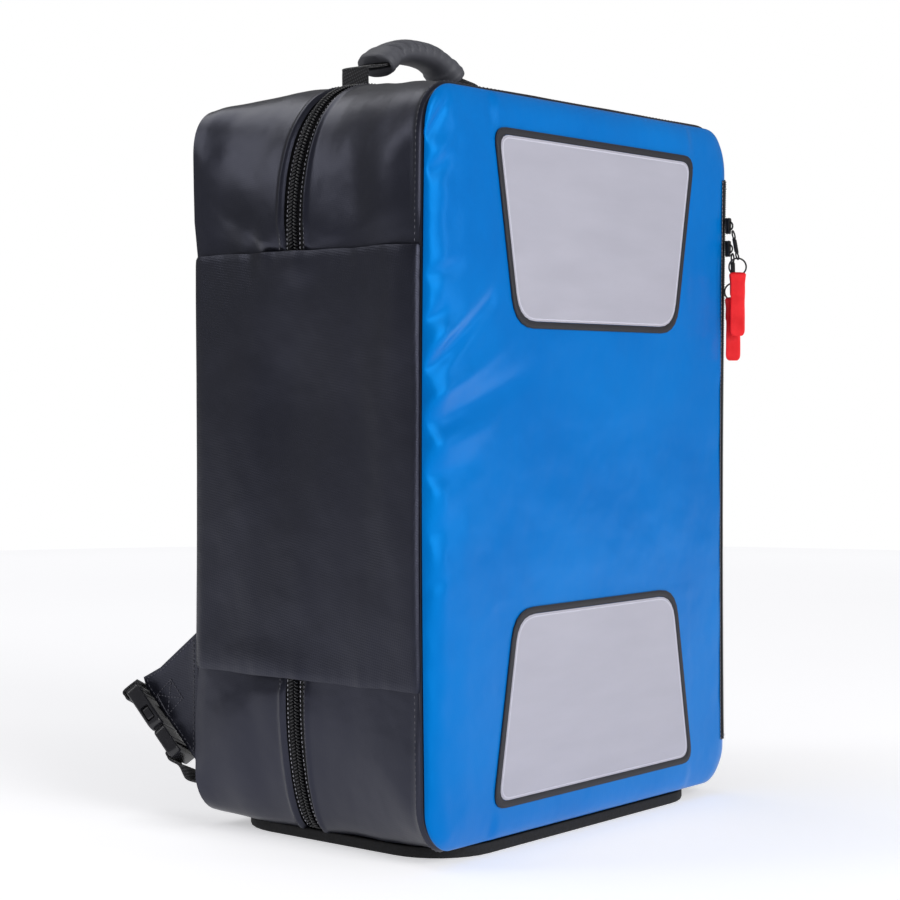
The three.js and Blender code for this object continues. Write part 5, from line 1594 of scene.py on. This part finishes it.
class BACKPACK_OT_buckles(bpy.types.Operator):
    """Mould the fastened side-release buckles"""
    bl_idname = "backpack.buckles"
    bl_label = "Buckles"

    def execute(self, context):
        for name, side in SIDES:
            at = buckle_frame(side)
            place = basis(at["mouth"], at["across"], at["length"], at["through"])
            socket = block(f"socket_{name}", (BUCKLE_WIDTH, SOCKET_LENGTH, SOCKET_THICKNESS),
                           (0, SOCKET_LENGTH / 2, 0), plan=5.5, round_edge=1.6, segments=3)
            cut(socket, block("slot", SLOT_SIZE, (0, SOCKET_SLOT, 0), plan=1.2))
            cut(socket, block("hollow", (27, 44.8, 5.8)))
            cut(socket, block("window", (60, 12, 6.2), (0, 12, 0), round_edge=1))
            for face in (-1, 1):
                skin = face * SOCKET_THICKNESS / 2
                cut(socket, block("dish", (17, 13, 1.6), (0, 14, skin), plan=5, round_edge=0.7))
                cut(socket, block("step", (40, 1.1, 0.9), (0, 25.6, skin)))
            stood(socket, place)
            dress(socket, "Moulded acetal", [f"buckle_socket_{name}"], angle=30)
            plug = block(f"plug_{name}", (BUCKLE_WIDTH, PLUG_LENGTH, PLUG_THICKNESS),
                         (0, PLUG_PLACE, 0), plan=4.5, round_edge=1.4, segments=3)
            cut(plug, block("slot", SLOT_SIZE, (0, PLUG_SLOT, 0), plan=1.2))
            for face in (-1, 1):
                cut(plug, block("step", (40, 1.1, 0.9),
                                (0, PLUG_PLACE, face * PLUG_THICKNESS / 2)))
            arms = [block("tongue", (9, 25, 5), (0, 8.5, 0), round_edge=0.6)]
            for arm in (-1, 1):
                arms.append(block("prong", (4, 25.6, 5), (arm * 11, 8.8, 0), round_edge=0.6))
                arms.append(block("press", (5, 9.6, 5), (arm * 13.9, 12, 0), plan=1.8,
                                  round_edge=0.6))
            whole = joined(f"plug_{name}", [plug, *arms])
            stood(whole, place)
            dress(whole, "Moulded acetal", [f"buckle_plug_{name}"], angle=30)
        return {"FINISHED"}


# Strap webbing below the buckle: shares of the half width, the wing's reach and height, and
# its tilt. Pads: shares of the half width and the height, and how far they arch out
STRAP_LINE = (
    (0.945, 0.2, 0.4, -0.4), (0.93, 0.12, 0.31, -0.35), (0.9, 0.06, 0.31, -0.3),
    (0.872, 0.05, 0.42, -0.25), (0.83, 0.07, 0.7, -0.2), (0.72, 0.16, 1.3, -0.25),
    (0.64, 0.28, 1.8, -0.3),
)
PAD_LINE = ((0.3, 0.875, 0), (0.31, 0.85, 0.1), (0.335, 0.8, 0.52), (0.375, 0.73, 0.88),
            (0.43, 0.64, 1), (0.49, 0.55, 0.94), (0.55, 0.46, 0.72), (0.585, 0.39, 0.5))


PAD_WIDTH, PAD_THICKNESS, PAD_ARCH, PAD_TILT = 60, 7.5, 30, -0.25
PAD_GRAIN, SWELL_FRAMES, SWELL_FORCE = 2, 20, 4.0


def pad_point(side, row):
    """Place on a shoulder pad's middle line."""
    across, up, off = row
    return Vector((side * across * WIDTH / 2, BACK_SEAM + 5.3 + PAD_ARCH * off, up * HEIGHT))


class BACKPACK_OT_straps(bpy.types.Operator):
    """Run the webbing round the buckles' bars and up to the shoulder pads"""
    bl_idname = "backpack.straps"
    bl_label = "Strap webbing"

    def execute(self, context):
        beside = SOCKET_THICKNESS / 2 + GAP + WEBBING_THICKNESS / 2
        shape = outline(WEBBING_WIDTH, WEBBING_THICKNESS, 6, 14)
        for name, side in SIDES:
            at = buckle_frame(side)
            over = SOCKET_LENGTH + GAP + WEBBING_THICKNESS / 2
            route = ((SOCKET_SLOT, -6.3), (SOCKET_SLOT, beside),
                     ((SOCKET_SLOT + over) / 2, beside * 1.2), (over, beside), (over, -6.3))
            line = smooth_line([beside_buckle(at, *row) for row in route], 6)
            anchor = swept(f"anchor_loop_{name}", line, at["across"], shape)
            dress(anchor, "Polyamide webbing", [f"anchor_webbing_{name}"])
            end = PLUG_PLACE - PLUG_LENGTH / 2
            path = [(beside_buckle(at, *row), at["across"]) for row in
                    ((PLUG_SLOT, -beside * 0.6), (PLUG_SLOT, beside * 0.8),
                     ((PLUG_SLOT + end) / 2, beside), (end, beside))]
            for across, back, up, tilt in STRAP_LINE:
                place = Vector((side * across * WIDTH / 2, BACK_SEAM + back * WING_REACH,
                                up * WING_HEIGHT))
                path.append((place, Vector((-side, 0, tilt))))
            pad_end, above = pad_point(side, PAD_LINE[-1]), pad_point(side, PAD_LINE[-2])
            path.append((pad_end + (pad_end - above).normalized() * GAP,
                         Vector((-side, 0, PAD_TILT))))
            line = smooth_line([place for place, _ in path], 8)
            across = smooth_line([wide.normalized() for _, wide in path], 8)
            strap = swept(f"strap_run_{name}", line, across, shape)
            dress(strap, "Polyamide webbing", [f"strap_webbing_{name}"])
        return {"FINISHED"}


class BACKPACK_OT_pads(bpy.types.Operator):
    """Swell the padded shoulder straps in a short cloth simulation and bind their edges"""
    bl_idname = "backpack.pads"
    bl_label = "Shoulder pads"

    def execute(self, context):
        swell = context.scene.bag_sizes.pad_swell
        for name, side in SIDES:
            line = smooth_line([pad_point(side, row) for row in PAD_LINE], 6)
            across = Vector((-side, 0, PAD_TILT))
            wide = across.normalized()
            ends = [min(index, len(line) - 1 - index) for index in range(len(line))]
            shapes = [outline(PAD_WIDTH * (1 - 0.12 * max(0, 1 - end / 3) ** 2), PAD_THICKNESS,
                              3, 28) for end in ends]
            pad = swept(f"shoulder_pad_{name}", line, across, shapes)
            self.swell(pad, swell, line, wide)
            dress(pad, "Black side tarpaulin", [f"shoulder_strap_{name}"])
            for label, edge in (("inner", 1), ("outer", -1)):
                bound = [point + wide * edge * (PAD_WIDTH / 2 - 0.5) for point in line[1:-1]]
                tape = swept(f"pad_binding_{label}_{name}", bound, across,
                             outline(4.4, 6.4, 2.6, 12))
                dress(tape, "Polyamide webbing")
        return {"FINISHED"}

    @staticmethod
    def swell(pad, limit, line, wide):
        """Blows the pad up under pressure by a limit at most. Its bound edges stay in place."""
        modify(pad, "REMESH", mode="VOXEL", voxel_size=PAD_GRAIN * MM)
        start = [vertex.co.copy() for vertex in pad.data.vertices]
        activate(pad)
        made = pad.modifiers.new("cloth", "CLOTH")
        made.settings.use_pressure = True
        made.settings.uniform_pressure_force = SWELL_FORCE
        made.settings.effector_weights.gravity = 0.0
        made.point_cache.frame_start, made.point_cache.frame_end = 1, SWELL_FRAMES
        for number in range(1, SWELL_FRAMES + 1):
            bpy.context.scene.frame_set(number)
        blown = pad.evaluated_get(bpy.context.evaluated_depsgraph_get())
        moved = [vertex.co.copy() for vertex in blown.data.vertices]
        pad.modifiers.clear()
        bpy.context.scene.frame_set(1)
        for vertex, before, after in zip(pad.data.vertices, start, moved):
            step = after - before
            if step.length > limit:
                step *= limit / step.length
            at = before / MM
            index = min(range(len(line)), key=lambda i: (line[i] - at).length_squared)
            end = min(index, len(line) - 1 - index)
            off = abs((at - line[index]).dot(wide))
            vertex.co = before + step * rise((27 - off) / 9) * rise(end / 3)
        modify(pad, "SUBSURF", levels=1, render_levels=1)


ORDER = ("materials", "stage", "shell", "sides", "main_zip", "front", "pocket_zip", "pulls",
         "plates", "back", "base", "handle", "wings", "buckles", "straps", "pads")


class BACKPACK_PT_panel(bpy.types.Panel):
    """Lists the bag's pieces in the 3D view's sidebar"""
    bl_idname = "BACKPACK_PT_panel"
    bl_label = "Backpack"
    bl_space_type = "VIEW_3D"
    bl_region_type = "UI"
    bl_category = "Backpack"

    def draw(self, context):
        for name in ORDER:
            self.layout.operator(f"backpack.{name}")
        for name in ("relief", "pad_swell", "film_low", "film_high"):
            self.layout.prop(context.scene.bag_sizes, name)
        for name in ("lens", "key", "edge", "side", "over", "world"):
            self.layout.prop(context.scene.bag_stage, name)


CLASSES = (
    BagSizes, BagStage, BACKPACK_OT_materials, BACKPACK_OT_stage, BACKPACK_OT_shell,
    BACKPACK_OT_sides, BACKPACK_OT_main_zip, BACKPACK_OT_front, BACKPACK_OT_pocket_zip,
    BACKPACK_OT_pulls, BACKPACK_OT_plates, BACKPACK_OT_back, BACKPACK_OT_base,
    BACKPACK_OT_handle, BACKPACK_OT_wings, BACKPACK_OT_buckles, BACKPACK_OT_straps,
    BACKPACK_OT_pads, BACKPACK_PT_panel,
)


def register():
    for held in CLASSES:
        bpy.utils.register_class(held)
    bpy.types.Scene.bag_sizes = bpy.props.PointerProperty(type=BagSizes)
    bpy.types.Scene.bag_stage = bpy.props.PointerProperty(type=BagStage)


def unregister():
    del bpy.types.Scene.bag_stage
    del bpy.types.Scene.bag_sizes
    for held in reversed(CLASSES):
        bpy.utils.unregister_class(held)


def main():
    register()
    for name in ORDER:
        getattr(bpy.ops.backpack, name)()
    deselect()


if __name__ == "__main__":
    main()
